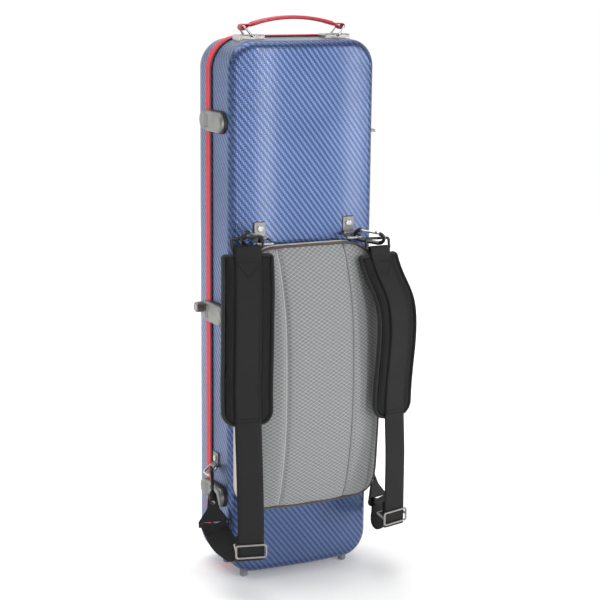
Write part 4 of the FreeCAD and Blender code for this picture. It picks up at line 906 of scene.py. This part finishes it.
@dataclass
class ShoulderStrap:
    """One shoulder strap: pad, webbing with its loop round the upper ring, and the lower loop."""

    side: int
    pad_width: float = 70 * MM
    pad_thick: float = 9.5 * MM
    web_width: float = 38 * MM
    web_thick: float = 2.2 * MM
    twist: float = math.radians(14)
    triangle_twist: float = math.radians(30)
    pad_shift: float = 7 * MM
    slider_shift: float = 9 * MM
    corner: float = 20 * MM
    top_corner: float = 3 * MM
    shift_top: float = 256 * MM
    shift_foot: float = 108 * MM
    ring_rise: float = 15 * MM
    ring_wire: float = 2.35 * MM
    cuff_bore: float = 2.4 * MM
    bar_offset: float = 3.6 * MM
    swell_room: float = 2.2 * MM
    form_inset: float = 1.5 * MM
    web_seam: float = 2.6 * MM
    edge_seam: float = 6.2 * MM
    binding_half: float = 2.3 * MM
    binding_squeeze: float = 2.15
    swell_fade: float = 7 * MM
    web_fade: float = 4 * MM
    side_rise: float = 3.2 * MM
    cross_rows: tuple[float, ...] = (0.045, 0.955, 0.975)
    route: tuple = (
        (103.0, -102.0, 512.0), (104.0, -109.0, 490.0), (108.5, -121.5, 462.0), (116.0, -138.5, 430.0),
        (118.8, -144.5, 397.0), (118.6, -143.0, 350.0), (117.2, -138.5, 300.0), (116.3, -139.0, 255.0),
        (116.0, -143.5, 200.0), (115.2, -145.8, 145.0), (115.0, -147.0, 74.0))
    loop: tuple = ((115.1, -140.4, 110.0), (115.2, -140.0, 82.0), (117.0, -131.0, 70.0),
                   (122.0, -110.0, 66.0), (130.0, -86.0, 72.0))
    slot: tuple = (135.5, -63.0, 94.5)
    lower_link: tuple = (127.8, -33.5, 160.8)

    @property
    def name(self) -> str:
        """Left or right."""
        return "right" if self.side > 0 else "left"

    @property
    def body(self) -> str:
        """Body that the strap rides on."""
        return f"strap_{self.name}"

    def shifted(self, points: Sequence[Sequence[float]]) -> np.ndarray:
        """Points in metres, moved up or down for this side's adjustment."""
        points = np.asarray(points, float) * MM
        share = np.clip((self.shift_top - points[:, 2]) / (self.shift_top - self.shift_foot), 0, 1)
        points[:, 2] -= self.side * (self.pad_shift * (1 - share) - self.slider_shift * share)
        return points

    def mirrored(self, vectors: np.ndarray) -> np.ndarray:
        """Vectors on this strap's own side."""
        return vectors * np.array([self.side, 1.0, 1.0])

    def main(self) -> Band:
        """Stations of the main route, from the upper ring to the slider."""
        at = smooth_route(self.shifted(self.route), 240)
        across = np.broadcast_to([math.cos(self.twist), math.sin(self.twist), 0.0], at.shape)
        band = Band.along(at, across)
        return Band(self.mirrored(band.at), self.mirrored(band.across), self.mirrored(band.outward), band.run)

    def bound(self, band: Band) -> tuple[int, int]:
        """Stations at the pad's two ends, from the height of its solid."""
        low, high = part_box(f"shoulder_pad_{self.name}")
        return band.index_at(high.z), band.index_at(low.z)

    def half_width(self, run: np.ndarray) -> np.ndarray:
        """Half width of the pad along its length: a quarter circle closes each corner.

        Args:
            run: Distance from the pad's top, where the last value is its length.

        Returns:
            Half width at each distance.
        """
        half = np.full(len(run), self.pad_width / 2)
        for left, radius in ((run - run[0], self.top_corner), (run[-1] - run, self.corner)):
            inside = np.clip(radius - left, 0, radius)
            half = np.minimum(half, self.pad_width / 2 - radius + np.sqrt(radius ** 2 - inside ** 2))
        return half

    def pad(self, palette: Palette, band: Band) -> list[bpy.types.Object]:
        """Padded piece, its binding and the rows of stitches.

        The form's section is a flat oval, with its face cut at the webbing and swollen beside it.
        """
        first, last = self.bound(band)
        part = band.part(first, last + 1)
        half = self.half_width(part.run)
        depth = np.minimum(1.0, np.minimum(part.run - part.run[0], part.run[-1] - part.run) / (5 * MM))
        thick = (self.pad_thick - self.swell_room) / 2 * np.sqrt(np.clip(0.25 + 0.75 * depth, 0, 1))
        angle = np.linspace(0, 2 * np.pi, 48, endpoint=False)
        u, v = signed_power(np.cos(angle), 0.55), signed_power(np.sin(angle), 0.5)
        middle = -self.pad_thick / 2 - 0.2 * MM
        wide = half - self.form_inset
        points = (part.at[:, None] + part.across[:, None] * (u[None, :] * wide[:, None])[..., None]
                  + part.outward[:, None] * (middle + v[None, :] * thick[:, None])[..., None])
        form = surface(f"pad_form_{self.name}", points, palette.pad_mesh, False, True, True)
        stuffing = Stuffing(3.0 * MM, 4.0, 2.4 * MM, smoothing=3)
        stuffing.soften(form)
        spots = coordinates(form)
        near, across, outward = part.local(spots)
        stuffing.swell(form)
        raised = ((coordinates(form) - spots) * part.outward[near]).sum(1)
        raised *= np.clip((half[near] - abs(across)) / self.swell_fade, 0, 1)
        spots = spots + part.outward[near] * raised[:, None]
        outward = outward + raised
        beside = np.clip((abs(across) - self.web_width / 2) / self.web_fade, 0, 1)
        limit = beside * self.side_rise - 0.15 * MM
        back = -self.pad_thick - 0.9 * MM
        target = np.clip(np.minimum(outward, limit), back, None)
        move_to(form, spots + part.outward[near] * (target - outward)[:, None])
        subdivided(form)
        form.name = f"pad_{self.name}"
        binding = self.binding(palette, part, half)
        rows = self.stitch_rows(palette, part)
        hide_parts(f"shoulder_pad_{self.name}")
        for piece in (form, binding, *rows):
            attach(piece, self.body)
        return [form, binding, *rows]

    def binding(self, palette: Palette, part: Band, half: np.ndarray) -> bpy.types.Object:
        """Bound edge: a flat oval tube along the pad's outline."""
        index = np.arange(len(half), dtype=float)
        top = np.linspace(-half[0], half[0], 20)[1:-1]
        foot = np.linspace(half[-1], -half[-1], 20)[1:-1]
        wide = np.concatenate([top, half, foot, -half[::-1]])
        station = np.concatenate([np.zeros(18), index, np.full(18, index[-1]), index[::-1]])
        path = part.place(station, wide * 0.985, np.full(len(wide), -self.pad_thick / 2))
        path = even(np.concatenate([path, path[:1]]), 420)[:-1]
        return tube(f"pad_binding_{self.name}", path, self.binding_half, palette.binding, True, 12,
                    self.binding_squeeze)

    def stitch_rows(self, palette: Palette, part: Band) -> list[bpy.types.Object]:
        """Rows of stitches that hold the webbing, the binding and the pad together."""
        count = len(part.at)
        index = np.linspace(3, count - 3, 160)
        web = self.web_width / 2 - self.web_seam
        face = self.web_thick + 0.15 * MM
        lines = [part.place(index, np.full(160, s * web), np.full(160, face)) for s in (-1, 1)]
        lines += [part.place(np.full(12, float(k)), np.linspace(-web, web, 12), np.full(12, face))
                  for k in np.array(self.cross_rows) * count]
        point = np.linspace(0, 1, 14)
        lines += [part.place(count * (0.05 + 0.09 * point), s * web * (1 - point), np.full(14, face))
                  for s in (-1, 1)]
        edge = np.full(160, self.pad_width / 2 - self.edge_seam)
        rim = [part.place(np.linspace(8, count - 26, 160), s * edge, np.full(160, 0.9 * MM)) for s in (-1, 1)]
        return [stitches(f"web_stitches_{self.name}", lines, palette.thread, 3.2 * MM, 0.8, 0.5 * MM),
                stitches(f"edge_stitches_{self.name}", rim, palette.thread, 2.6 * MM, 0.65, 0.3 * MM)]

    def webbing(self, palette: Palette, band: Band) -> bpy.types.Object:
        """Tape that turns round the ring's lower bar and runs down to the slider.

        The turn is a circle about the bar; the tape then leaves it along the route's outer face.
        """
        start = band.at[0] + unit(band.at[1] - band.at[0]) * self.ring_rise
        tangent = unit(band.at[3] - band.at[0])
        out = band.outward[0]
        radius = self.ring_wire + self.web_thick / 2
        angle = np.linspace(-math.radians(100), math.radians(80), 26)
        turn = start - tangent * np.cos(angle)[:, None] * radius + out * np.sin(angle)[:, None] * radius
        tail = start + tangent * np.linspace(26, 4, 8)[:, None] * MM - out * (radius * 0.2)
        rest = band.at + band.outward * (self.web_thick / 2)
        keep = band.run > self.ring_rise + 10 * MM
        path = even(np.concatenate([tail[-2:], turn, rest[keep]]), 260)
        across = np.broadcast_to(band.across[0], path.shape)
        tape = Band.along(path, across).tape(f"webbing_tape_{self.name}", self.web_width, self.web_thick, 0.0,
                                             palette.webbing)
        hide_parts(f"webbing_{self.name}")
        return tape

    def lower(self, palette: Palette) -> list[bpy.types.Object]:
        """Loop of tape from behind the slider round to the triangle, and its sewn end."""
        link, slot = np.array(self.lower_link) * MM, np.array(self.slot) * MM
        down = unit(slot - link)
        cuff = slot + down * self.bar_offset
        route = self.shifted(self.loop)
        route[3] = np.array(self.loop[3]) * MM + [0, 0, self.side * self.slider_shift * 0.5]
        route[4] = np.array(self.loop[4]) * MM
        path = smooth_route([*route, cuff], 150)
        share = np.linspace(0, 1, 150)[:, None]
        angle = self.twist + (self.triangle_twist - self.twist) * share
        across = np.concatenate([np.cos(angle), np.sin(angle), np.zeros_like(angle)], 1)
        ahead = unit(path[-1] - path[-6])
        wide = unit(across[-1] - ahead * (across[-1] @ ahead))
        up = np.cross(ahead, wide)
        radius = self.cuff_bore + self.web_thick / 2
        turn = np.linspace(-math.radians(75), math.radians(200), 40)
        wrap = cuff + ahead * np.cos(turn)[:, None] * radius + up * np.sin(turn)[:, None] * radius
        keep = np.linalg.norm(path - cuff, axis=1) > radius + 5 * MM
        body = even(np.concatenate([path[keep], wrap]), 210)
        full = np.concatenate([across[keep], np.broadcast_to(across[-1], wrap.shape)])
        run = np.linspace(0, 1, len(full))
        widths = between(np.linspace(0, 1, 210), run, full)
        body, widths = self.mirrored(body), self.mirrored(widths)
        tape = Band.along(body, widths)
        piece = tape.tape(f"loop_tape_{self.name}", self.web_width, self.web_thick, 0.0, palette.webbing)
        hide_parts(f"lower_webbing_{self.name}")
        sewn = tape.part(110, 158)
        web = self.web_width / 2 - 3 * MM
        face = self.web_thick / 2 + 0.1 * MM
        lines = [sewn.place(np.full(12, float(k)), np.linspace(-web, web, 12), np.full(12, s * face))
                 for k in (2, 44) for s in (-1, 1)]
        rows = stitches(f"loop_stitches_{self.name}", lines, palette.thread)
        return [piece, rows]

    def build(self, palette: Palette) -> list[bpy.types.Object]:
        """Make every soft piece of this strap."""
        band = self.main()
        pieces = [self.webbing(palette, band), *self.lower(palette)]
        for piece in pieces:
            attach(piece, self.body)
        return pieces + self.pad(palette, band)


# ---------------------------------------------------------------- cushion
@dataclass
class BackCushion:
    """Crowned back rest: mesh face with two long seams, cloth side band and piping."""

    corner: float = 34 * MM
    top_corner: float = 62 * MM
    seam: float = 53 * MM
    back_radius: float = 620 * MM
    sections: tuple = ((95.0, 31.0, 0.0), (200.0, 37.0, 20.0), (331.0, 38.0, 26.0), (430.0, 33.0, 20.0),
                       (500.0, 23.0, 6.0), (560.0, 11.0, 0.0))
    depth: float = 66 * MM
    board_face: float = -79.9 * MM
    groove: float = 3.4 * MM
    groove_reach: float = 4 * MM
    seam_rows: float = 3.4 * MM
    form_inset: float = 2.0 * MM
    swell_room: float = 2.2 * MM
    swell_fade: float = 22 * MM

    def __post_init__(self) -> None:
        """Read the solid's corners."""
        self.low, self.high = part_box("cushion_pad")

    def outline(self, grow: float, count: int = 220) -> np.ndarray:
        """Rounded outline in X and Z, evenly spaced: four quarter circles joined by straight sides."""
        half, low, high = self.high.x + grow, self.low.z - grow, self.high.z + grow
        parts = []
        for sx, top, radius, first in ((1, False, self.corner, -90), (1, True, self.top_corner, 0),
                                       (-1, True, self.top_corner, 90), (-1, False, self.corner, 180)):
            radius = radius + grow
            turn = np.radians(first + np.linspace(0, 90, 40))
            centre = np.array([sx * (half - radius), high - radius if top else low + radius])
            parts.append(centre + radius * np.stack([np.cos(turn), np.sin(turn)], -1))
        loop = np.concatenate(parts)
        loop = np.concatenate([loop, loop[:1]])
        flat = np.stack([loop[:, 0], np.zeros(len(loop)), loop[:, 1]], -1)
        return even(flat, count + 1)[:-1][:, [0, 2]]

    def face(self, x: np.ndarray, z: np.ndarray) -> np.ndarray:
        """Y of the front: across the width a spline through edge, seam, middle, seam and edge levels.

        Each level is itself a spline along the height.
        """
        table = np.array(self.sections) * MM
        levels = spline_values(table[:, 0], table[:, 1:], z.ravel())
        edge = -self.depth - levels[:, 0] + 5 * MM
        seam = -self.depth - levels[:, 0] - levels[:, 1]
        reach = self.high.x + 12 * MM
        knots = np.array([-reach, -self.seam, 0.0, self.seam, reach])
        basis = spline_values(knots, np.eye(5), x.ravel())
        rows = np.stack([edge, seam, seam - 3 * MM, seam, edge], -1)
        return (basis * rows).sum(1).reshape(x.shape)

    def back(self, x: np.ndarray) -> np.ndarray:
        """Y of the back, a cylinder's arc on the board."""
        return self.board_face + self.back_radius - np.sqrt(self.back_radius ** 2 - x ** 2)

    def form(self, palette: Palette) -> bpy.types.Object:
        """Closed form: rings shrink from the outline to the middle on the back and on the face."""
        loop = self.outline(-self.form_inset)
        middle = np.array([0.0, (self.low.z + self.high.z) / 2])
        inmost, behind, beside, ahead = 0.04, 26, 12, 30
        shares = np.concatenate([np.linspace(inmost, 1, behind), np.ones(beside),
                                 np.linspace(1, inmost, ahead)])
        level = np.concatenate([np.zeros(behind), np.linspace(0.03, 0.97, beside), np.ones(ahead)])
        flat = middle + (loop[None] - middle) * shares[:, None, None]
        x, z = flat[..., 0], flat[..., 1]
        back, front = self.back(x) - 0.4 * MM, self.face(x, z) + self.swell_room
        y = back + (front - back) * level[:, None]
        points = np.stack([x, y, z], -1)
        return surface("cushion_form", points, palette.spacer, False, True, True)

    def shape(self, palette: Palette) -> bpy.types.Object:
        """Swell the form, flatten its back, share out its finishes and press the seams in.

        A seam's groove is its depth times exp(-(distance / reach) squared).
        """
        piece = self.form(palette)
        stuffing = Stuffing(4.5 * MM, 4.0, 6.0 * MM, smoothing=4)
        stuffing.soften(piece)
        spots = coordinates(piece)
        stuffing.swell(piece)
        inset = np.minimum(self.high.x - abs(spots[:, 0]),
                           np.minimum(spots[:, 2] - self.low.z, self.high.z - spots[:, 2]))
        spots[:, 1] += (coordinates(piece) - spots)[:, 1] * np.clip(inset / self.swell_fade, 0, 1)
        spots[:, 1] = np.minimum(spots[:, 1], self.back(spots[:, 0]) - 0.2 * MM)
        move_to(piece, spots)
        subdivided(piece)
        piece.name = "cushion"
        self.share_finishes(piece, palette)
        spots = coordinates(piece)
        front = spots[:, 1] < self.face(spots[:, 0], spots[:, 2]) + 3 * MM
        gap = abs(spots[:, 0]) - self.seam
        fade = np.clip((spots[:, 2] - self.low.z - 3 * MM) / (12 * MM), 0, 1)
        spots[:, 1] += np.where(front, self.groove * np.exp(-(gap / self.groove_reach) ** 2) * fade, 0)
        move_to(piece, spots)
        return piece

    def share_finishes(self, piece: bpy.types.Object, palette: Palette) -> None:
        """Give the side band's faces their cloth."""
        mesh = piece.data
        mesh.materials.clear()
        mesh.materials.append(palette.spacer)
        mesh.materials.append(palette.band)
        centres = np.zeros(len(mesh.polygons) * 3)
        mesh.polygons.foreach_get("center", centres)
        x, y, z = centres.reshape(-1, 3).T
        side = y > self.face(x, z) + 2.6 * MM
        mesh.polygons.foreach_set("material_index", side.astype(np.int32))
        mesh.update()

    def hugging(self, piece: bpy.types.Object, path: np.ndarray, closed: bool) -> np.ndarray:
        """Path moved to the nearest vertices of a piece and smoothed by averaging neighbours."""
        spots = coordinates(piece)
        gap = np.linalg.norm(path[:, None] - spots[None], axis=2)
        path = spots[gap.argmin(1)]
        for _ in range(6):
            if closed:
                path = (np.roll(path, 1, 0) + path * 2 + np.roll(path, -1, 0)) / 4
            else:
                path[1:-1] = (path[:-2] + path[1:-1] * 2 + path[2:]) / 4
        return path

    def piping(self, piece: bpy.types.Object, palette: Palette) -> list[bpy.types.Object]:
        """Piping along the front edge and a paler one along the back edge."""
        loop = self.outline(0.0, 360)
        y = self.face(loop[:, 0], loop[:, 1])
        front = self.hugging(piece, np.stack([loop[:, 0], y, loop[:, 1]], -1), True)
        front[:, 1] -= 0.6 * MM
        back = np.stack([loop[:, 0], self.back(loop[:, 0]) - 2.6 * MM, loop[:, 1]], -1)
        back = self.hugging(piece, back, True)
        return [tube("cushion_piping", front, 2.2 * MM, palette.piping, True, 10),
                tube("cushion_back_piping", back, 1.5 * MM, palette.pale_piping, True, 8)]

    def seams(self, piece: bpy.types.Object, palette: Palette) -> bpy.types.Object:
        """Thread rows on both sides of each groove."""
        z = np.linspace(self.low.z + 7 * MM, self.high.z - 6 * MM, 120)
        lines = []
        for x in (a * self.seam + b * self.seam_rows for a in (-1, 1) for b in (-1, 1)):
            column = np.full_like(z, x)
            path = np.stack([column, self.face(column, z), z], -1)
            path = self.hugging(piece, path, False)
            path[:, 0] = x
            path[:, 1] -= 0.2 * MM
            lines.append(path)
        return stitches("cushion_seams", lines, palette.grey_thread, 3.4 * MM, 0.7, 0.32 * MM)

    def cords(self, piece: bpy.types.Object, palette: Palette) -> list[bpy.types.Object]:
        """Thin cord laid along the bottom of each groove: the left one pale as a painted highlight, the right
        one dark as painted shade.
        """
        z = np.linspace(self.low.z + 5 * MM, self.high.z - 5 * MM, 140)
        made = []
        # painted light: the same cord is pale in the left groove as a painted highlight and dark in the right
        # groove as painted shade
        for name, side, cloth in (("left", -1, palette.grey_thread), ("right", 1, palette.painted_shade_cord)):
            column = np.full_like(z, side * self.seam)
            path = self.hugging(piece, np.stack([column, self.face(column, z) + 3 * MM, z], -1), False)
            path[:, 0] = column
            made.append(tube(f"cushion_cord_{name}", path, 0.9 * MM, cloth, False, 8))
        return made

    def build(self, palette: Palette) -> list[bpy.types.Object]:
        """Make the cushion and its trimmings."""
        cushion = self.shape(palette)
        pieces = [cushion, *self.piping(cushion, palette), self.seams(cushion, palette),
                  *self.cords(cushion, palette)]
        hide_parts("cushion_pad")
        for piece in pieces:
            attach(piece, "root")
        return pieces


# ---------------------------------------------------------------- handle
@dataclass
class Grip:
    """Arched leather handle: one strip that turns round both rings and a padded middle over it."""

    loop: float = 4.6 * MM
    bore: float = 2.5 * MM
    arch: float = 13.5 * MM
    strip_thick: float = 1.9 * MM
    core_share: float = 0.82
    core_half: float = 2.7 * MM
    tab_rows: tuple[float, float] = (0.855, 0.90)

    def __post_init__(self) -> None:
        """Work out the arch: a circle through both rings' bars that rises between them."""
        low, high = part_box("handle_strap")
        self.half, self.foot = high.x - self.loop, low.z + self.loop
        self.y, self.width = (low.y + high.y) / 2, high.y - low.y
        self.radius = (self.half ** 2 + self.arch ** 2) / (2 * self.arch)
        self.lean = math.asin(self.half / self.radius)
        self.centre = self.foot + self.arch - self.radius

    def build(self, palette: Palette) -> list[bpy.types.Object]:
        """Make the strip, the padded middle and the stitches."""
        under, core, rows = self.strip(palette), self.core(palette), self.rows(palette)
        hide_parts("handle_strap")
        for piece in (under, core, rows):
            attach(piece, "handle")
        return [under, core, rows]

    def arc(self, angle: np.ndarray, radius: float | np.ndarray,
            aside: float | np.ndarray = 0.0) -> np.ndarray:
        """Points of a circle over the case's end, at angles from straight up and moved aside.

        Args:
            angle: Angles.
            radius: One radius, or one for each angle.
            aside: Distance from the handle's middle plane.

        Returns:
            One point for each angle.
        """
        y = np.broadcast_to(self.y + aside, angle.shape)
        return np.stack([radius * np.sin(angle), y, self.centre + radius * np.cos(angle)], -1)

    def strip(self, palette: Palette) -> bpy.types.Object:
        """Strip that leaves the arch smoothly, turns round each ring and comes back under itself."""
        wrap = self.bore + 1.0 * MM
        share = np.clip((np.linspace(0, 1, 60) - 0.84) / 0.16, 0, 1)
        spread = wrap * share ** 2 * (3 - 2 * share)
        outer = self.arc(np.linspace(0, self.lean, 60), self.radius + spread)
        turn = np.linspace(math.pi / 2 - self.lean, -math.pi / 2 - self.lean, 26)[1:-1]
        hook = np.stack([self.half + wrap * np.cos(turn), np.full(24, self.y),
                         self.foot + wrap * np.sin(turn)], -1)
        apart = np.maximum(spread, 2.15 * MM - spread)[::-1][:20]
        tail = self.arc(np.linspace(self.lean, 0, 60)[:20], self.radius - apart)
        right = np.concatenate([outer[1:], hook, tail])
        left = right[::-1] * [-1, 1, 1]
        path = even(np.concatenate([left, outer[:1], right]), 320)
        band = Band.along(path, np.broadcast_to([0.0, -1.0, 0.0], path.shape))
        return band.tape("grip_strip", self.width * 0.80, self.strip_thick, 0.0, palette.leather, 11)

    def core(self, palette: Palette) -> bpy.types.Object:
        """Padded middle: a superellipse section that narrows towards both ends."""
        share = np.linspace(-1, 1, 90)
        angle = share * self.lean * self.core_share
        end = np.clip((1 - abs(share)) / 0.06, 0, 1)
        fade = np.sqrt(1 - (1 - end) ** 2)
        wide = self.width / 2 * (0.82 + 0.18 * fade) * np.where(abs(share) < 1, 1, 0.96)
        thick = self.core_half * (0.45 + 0.55 * fade)
        turn = np.linspace(0, 2 * np.pi, 28, endpoint=False)
        u, v = signed_power(np.cos(turn), 0.6), signed_power(np.sin(turn), 0.75)
        out = np.stack([np.sin(angle), np.zeros(90), np.cos(angle)], -1)
        spots = self.arc(angle, self.radius - 0.3 * MM)
        points = (spots[:, None] + out[:, None] * (v[None] * thick[:, None])[..., None]
                  + np.array([0, 1.0, 0]) * (u[None] * wide[:, None])[..., None])
        return surface("grip_core", points, palette.leather, False, True, True)

    def rows(self, palette: Palette) -> bpy.types.Object:
        """Stitches along both edges of the middle and across both tabs."""
        lines = []
        for side in (-1, 1):
            along = np.linspace(-1, 1, 80) * self.lean * self.core_share * 0.94
            lines.append(self.arc(along, self.radius + 1.75 * MM, side * (self.width / 2 - 2.6 * MM)))
            across = np.linspace(-1, 1, 12) * (self.width / 2 - 3 * MM)
            lines += [self.arc(np.full(12, side * self.lean * share), self.radius + 1.0 * MM, across)
                      for share in self.tab_rows]
        return stitches("grip_stitches", lines, palette.red_thread, 2.6 * MM, 0.66, 0.3 * MM)


# ---------------------------------------------------------------- lining
@dataclass
class Lining:
    """Plush that follows a lining's solid with soft, rounded edges."""

    node: str
    body: str
    voxel: float
    rounds: int = 3

    def build(self, palette: Palette, nodes: dict) -> list[bpy.types.Object]:
        """Copy the solid, merge its corners, remesh it finely and relax it."""
        mesh = nodes[self.node].data.copy()
        work = bmesh.new()
        work.from_mesh(mesh)
        bmesh.ops.remove_doubles(work, verts=work.verts, dist=1e-6)
        work.to_mesh(mesh)
        work.free()
        mesh.materials.clear()
        mesh.materials.append(palette.plush)
        name = f"{self.node}_plush"
        mesh.name = name
        piece = bpy.data.objects.new(name, mesh)
        bpy.context.scene.collection.objects.link(piece)
        Stuffing(self.voxel, 0.0, 0.0, smoothing=self.rounds).soften(piece)
        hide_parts(self.node)
        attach(piece, self.body)
        return [piece]


@dataclass
class NeckTie:
    """Soft tie that arches over the instrument's neck."""

    thick: float = 2.4 * MM

    def build(self, palette: Palette) -> list[bpy.types.Object]:
        """Make an arched tape: a circle's arc through both feet and the crown of the solid."""
        low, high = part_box("neck_tie")
        reach, rise = high.x, high.y - low.y
        radius = (reach ** 2 + rise ** 2) / (2 * rise)
        lean = math.asin(min(1.0, reach / radius))
        angle = np.linspace(-lean, lean, 60)
        r = radius - self.thick / 2
        path = np.stack([r * np.sin(angle), high.y - radius + r * np.cos(angle),
                         np.full(60, (low.z + high.z) / 2)], -1)
        band = Band.along(path, np.broadcast_to([0.0, 0.0, 1.0], path.shape))
        tie = band.tape("neck_tie_band", high.z - low.z, self.thick, 0.0, palette.plush, 11)
        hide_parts("neck_tie")
        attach(tie, "root")
        return [tie]


# ---------------------------------------------------------------- hard pieces
class Finish(Enum):
    """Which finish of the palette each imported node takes."""

    SHELL = ("shell", ("base_shell", "lid_shell"))
    RIM = ("rim", ("base_rim", "lid_rim"))
    BLACK_RUBBER = ("black_rubber", ("base_rim_strip", "lid_seal", "latch_gaskets"))
    GREY_RUBBER = ("grey_rubber", ("base_end_feet", "lid_end_feet"))
    SATIN = ("satin", ("latch_covers", "latch_lever_lower", "latch_lever_middle", "latch_lever_upper",
                       "lid_keepers", "lock_housing", "hinge_base_leaves", "hinge_lid_leaves",
                       "strap_anchors", "side_strap_eye"))
    BRIGHT = ("bright", ("latch_pins", "hinge_pins", "anchor_rings", "anchor_rivets", "handle_ring_left",
                         "handle_ring_right", "handle_brackets", "lock_cylinder", "upper_gate_left",
                         "upper_gate_right", "lower_gate_left", "lower_gate_right"))
    SLIDER = ("slider", ("slider_left", "slider_right"))
    BLACK_METAL = ("black_metal", ("upper_hook_left", "upper_hook_right", "lower_hook_left",
                                   "lower_hook_right", "strap_ring_left", "strap_ring_right",
                                   "triangle_left", "triangle_right"))
    PLASTIC = ("plastic", ("cushion_board", "bow_spinner_left", "bow_spinner_right", "bow_spinner_posts",
                           "bow_tip_loops"))
    PLUSH = ("plush", ("base_lining", "lid_lining", "neck_cradle", "neck_tie", "accessory_box_lid"))
    LEATHER = ("leather", ("accessory_box_tab", "handle_strap"))
    SOFT_BLACK = ("webbing", ("webbing_left", "webbing_right", "lower_webbing_left", "lower_webbing_right",
                              "shoulder_pad_left", "shoulder_pad_right"))
    SPACER = ("spacer", ("cushion_pad",))

    def dress(self, palette: Palette, nodes: dict) -> None:
        """Put the finish on its nodes."""
        finish, names = self.value
        for name in names:
            mesh = nodes[name].data
            mesh.materials.clear()
            mesh.materials.append(getattr(palette, finish))
            LOG.info("dressed %s with %s", name, finish)


# ---------------------------------------------------------------- studio
@dataclass(frozen=True)
class Softbox:
    """One soft lamp that faces a point."""

    name: str
    place: tuple[float, float, float]
    target: tuple[float, float, float]
    size: tuple[float, float]
    power: float

    def build(self) -> None:
        """Add the lamp."""
        lamp = bpy.data.lights.new(self.name, "AREA")
        lamp.shape = "RECTANGLE"
        lamp.size, lamp.size_y = self.size
        lamp.energy = self.power
        made = bpy.data.objects.new(self.name, lamp)
        bpy.context.scene.collection.objects.link(made)
        made.location = self.place
        away = Vector(self.place) - Vector(self.target)
        made.rotation_euler = away.to_track_quat("Z", "Y").to_euler()


@dataclass
class Studio:
    """Pale sweep, soft lamps and the camera."""

    azimuth: float = math.radians(-25.470)
    elevation: float = math.radians(12.180)
    roll: float = math.radians(0.45)
    place: tuple[float, float, float] = (-0.9829, -2.0695, 0.8933)
    lens: float = 94.84
    shift: tuple[float, float] = (0.0278, 0.00425)
    world: float = 1.0
    air_share: float = 0.50
    floor_near: float = -9.0
    floor_far: float = 3.2
    floor_half: float = 12.0
    wall_bend: float = 1.6
    wall_top: float = 6.0

    def build(self) -> None:
        """Build everything of the studio."""
        self.camera()
        self.sweep()
        self.air()
        for lamp in (
                Softbox("left_strip", (0.47, -2.34, 0.60), (0.0, -0.08, 0.45), (0.20, 1.9), 19.0),
                Softbox("right_strip", (1.95, -2.05, 0.60), (0.05, -0.08, 0.45), (0.36, 1.9), 24.0),
                Softbox("side_wall", (-1.6, 1.3, 0.75), (-0.1, 0.0, 0.42), (1.2, 1.6), 6.0),
                Softbox("top_light", (-0.3, 0.3, 2.6), (0.0, 0.3, 0.0), (2.4, 2.4), 38.0),
                Softbox("backdrop_light", (0.6, 1.2, 3.6), (1.4, 4.6, 1.6), (3.0, 2.0), 120.0),
        ):
            lamp.build()
        bpy.context.scene.view_settings.view_transform = "Standard"

    def camera(self) -> None:
        """Add the camera from its azimuth, elevation and roll."""
        turned = Euler((math.pi / 2 - self.elevation, 0.0, self.azimuth)).to_matrix()
        turned @= Matrix.Rotation(self.roll, 3, "Z")
        lens = bpy.data.cameras.new("camera")
        lens.lens, lens.sensor_width = self.lens, 36.0
        lens.shift_x, lens.shift_y = self.shift
        lens.clip_start, lens.clip_end = 0.05, 50.0
        made = bpy.data.objects.new("camera", lens)
        bpy.context.scene.collection.objects.link(made)
        made.matrix_world = Matrix.Translation(self.place) @ turned.to_4x4()
        bpy.context.scene.camera = made

    def sweep(self) -> None:
        """Floor that curves up into a wall far behind: straight runs joined by a quarter circle."""
        turn = np.linspace(0, np.pi / 2, 24)
        y = np.concatenate([[self.floor_near], self.floor_far + self.wall_bend * np.sin(turn),
                            [self.floor_far + self.wall_bend]])
        z = np.concatenate([[0.0], self.wall_bend - self.wall_bend * np.cos(turn), [self.wall_top]])
        x = np.linspace(-self.floor_half, self.floor_half, 3)
        points = np.stack([*np.meshgrid(x, y), np.broadcast_to(z[:, None], (len(y), len(x)))], -1)
        floor = surface("studio_floor", points, StudioPaper().build())

    def air(self) -> None:
        """Even pale light from all round, weaker where it lights things than where the camera sees it."""
        world = bpy.data.worlds.new("studio_air")
        world.use_nodes = True
        tree = world.node_tree
        shade = tree.nodes["Background"]
        shade.inputs["Color"].default_value = (1.0, 1.0, 1.0, 1.0)
        seen = tree.nodes.new("ShaderNodeLightPath")
        level = tree.nodes.new("ShaderNodeMapRange")
        level.inputs["To Min"].default_value = self.world * self.air_share
        level.inputs["To Max"].default_value = self.world
        tree.links.new(seen.outputs["Is Camera Ray"], level.inputs["Value"])
        tree.links.new(level.outputs["Result"], shade.inputs["Strength"])
        bpy.context.scene.world = world


def report(group: str, pieces: Sequence[bpy.types.Object]) -> None:
    """Log each piece's name and size."""
    for piece in pieces:
        LOG.info("%s: %s, %d faces", group, piece.name, len(piece.data.polygons))


def main() -> None:
    """Load the frame, dress the hard pieces, build the soft ones and set the studio."""
    logging.basicConfig(level=logging.INFO, format="%(name)s: %(message)s")
    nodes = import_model()["nodes"]
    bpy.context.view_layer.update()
    palette = Palette()
    for finish in Finish:
        finish.dress(palette, nodes)
    report("cushion", BackCushion().build(palette))
    for side in (-1, 1):
        report("strap", ShoulderStrap(side).build(palette))
    report("grip", Grip().build(palette))
    for lining in (Lining("base_lining", "root", 3.2 * MM), Lining("lid_lining", "lid", 3.0 * MM),
                   Lining("neck_cradle", "root", 2.0 * MM)):
        report("lining", lining.build(palette, nodes))
    report("tie", NeckTie().build(palette))
    Studio().build()


if __name__ == "__main__":
    main()
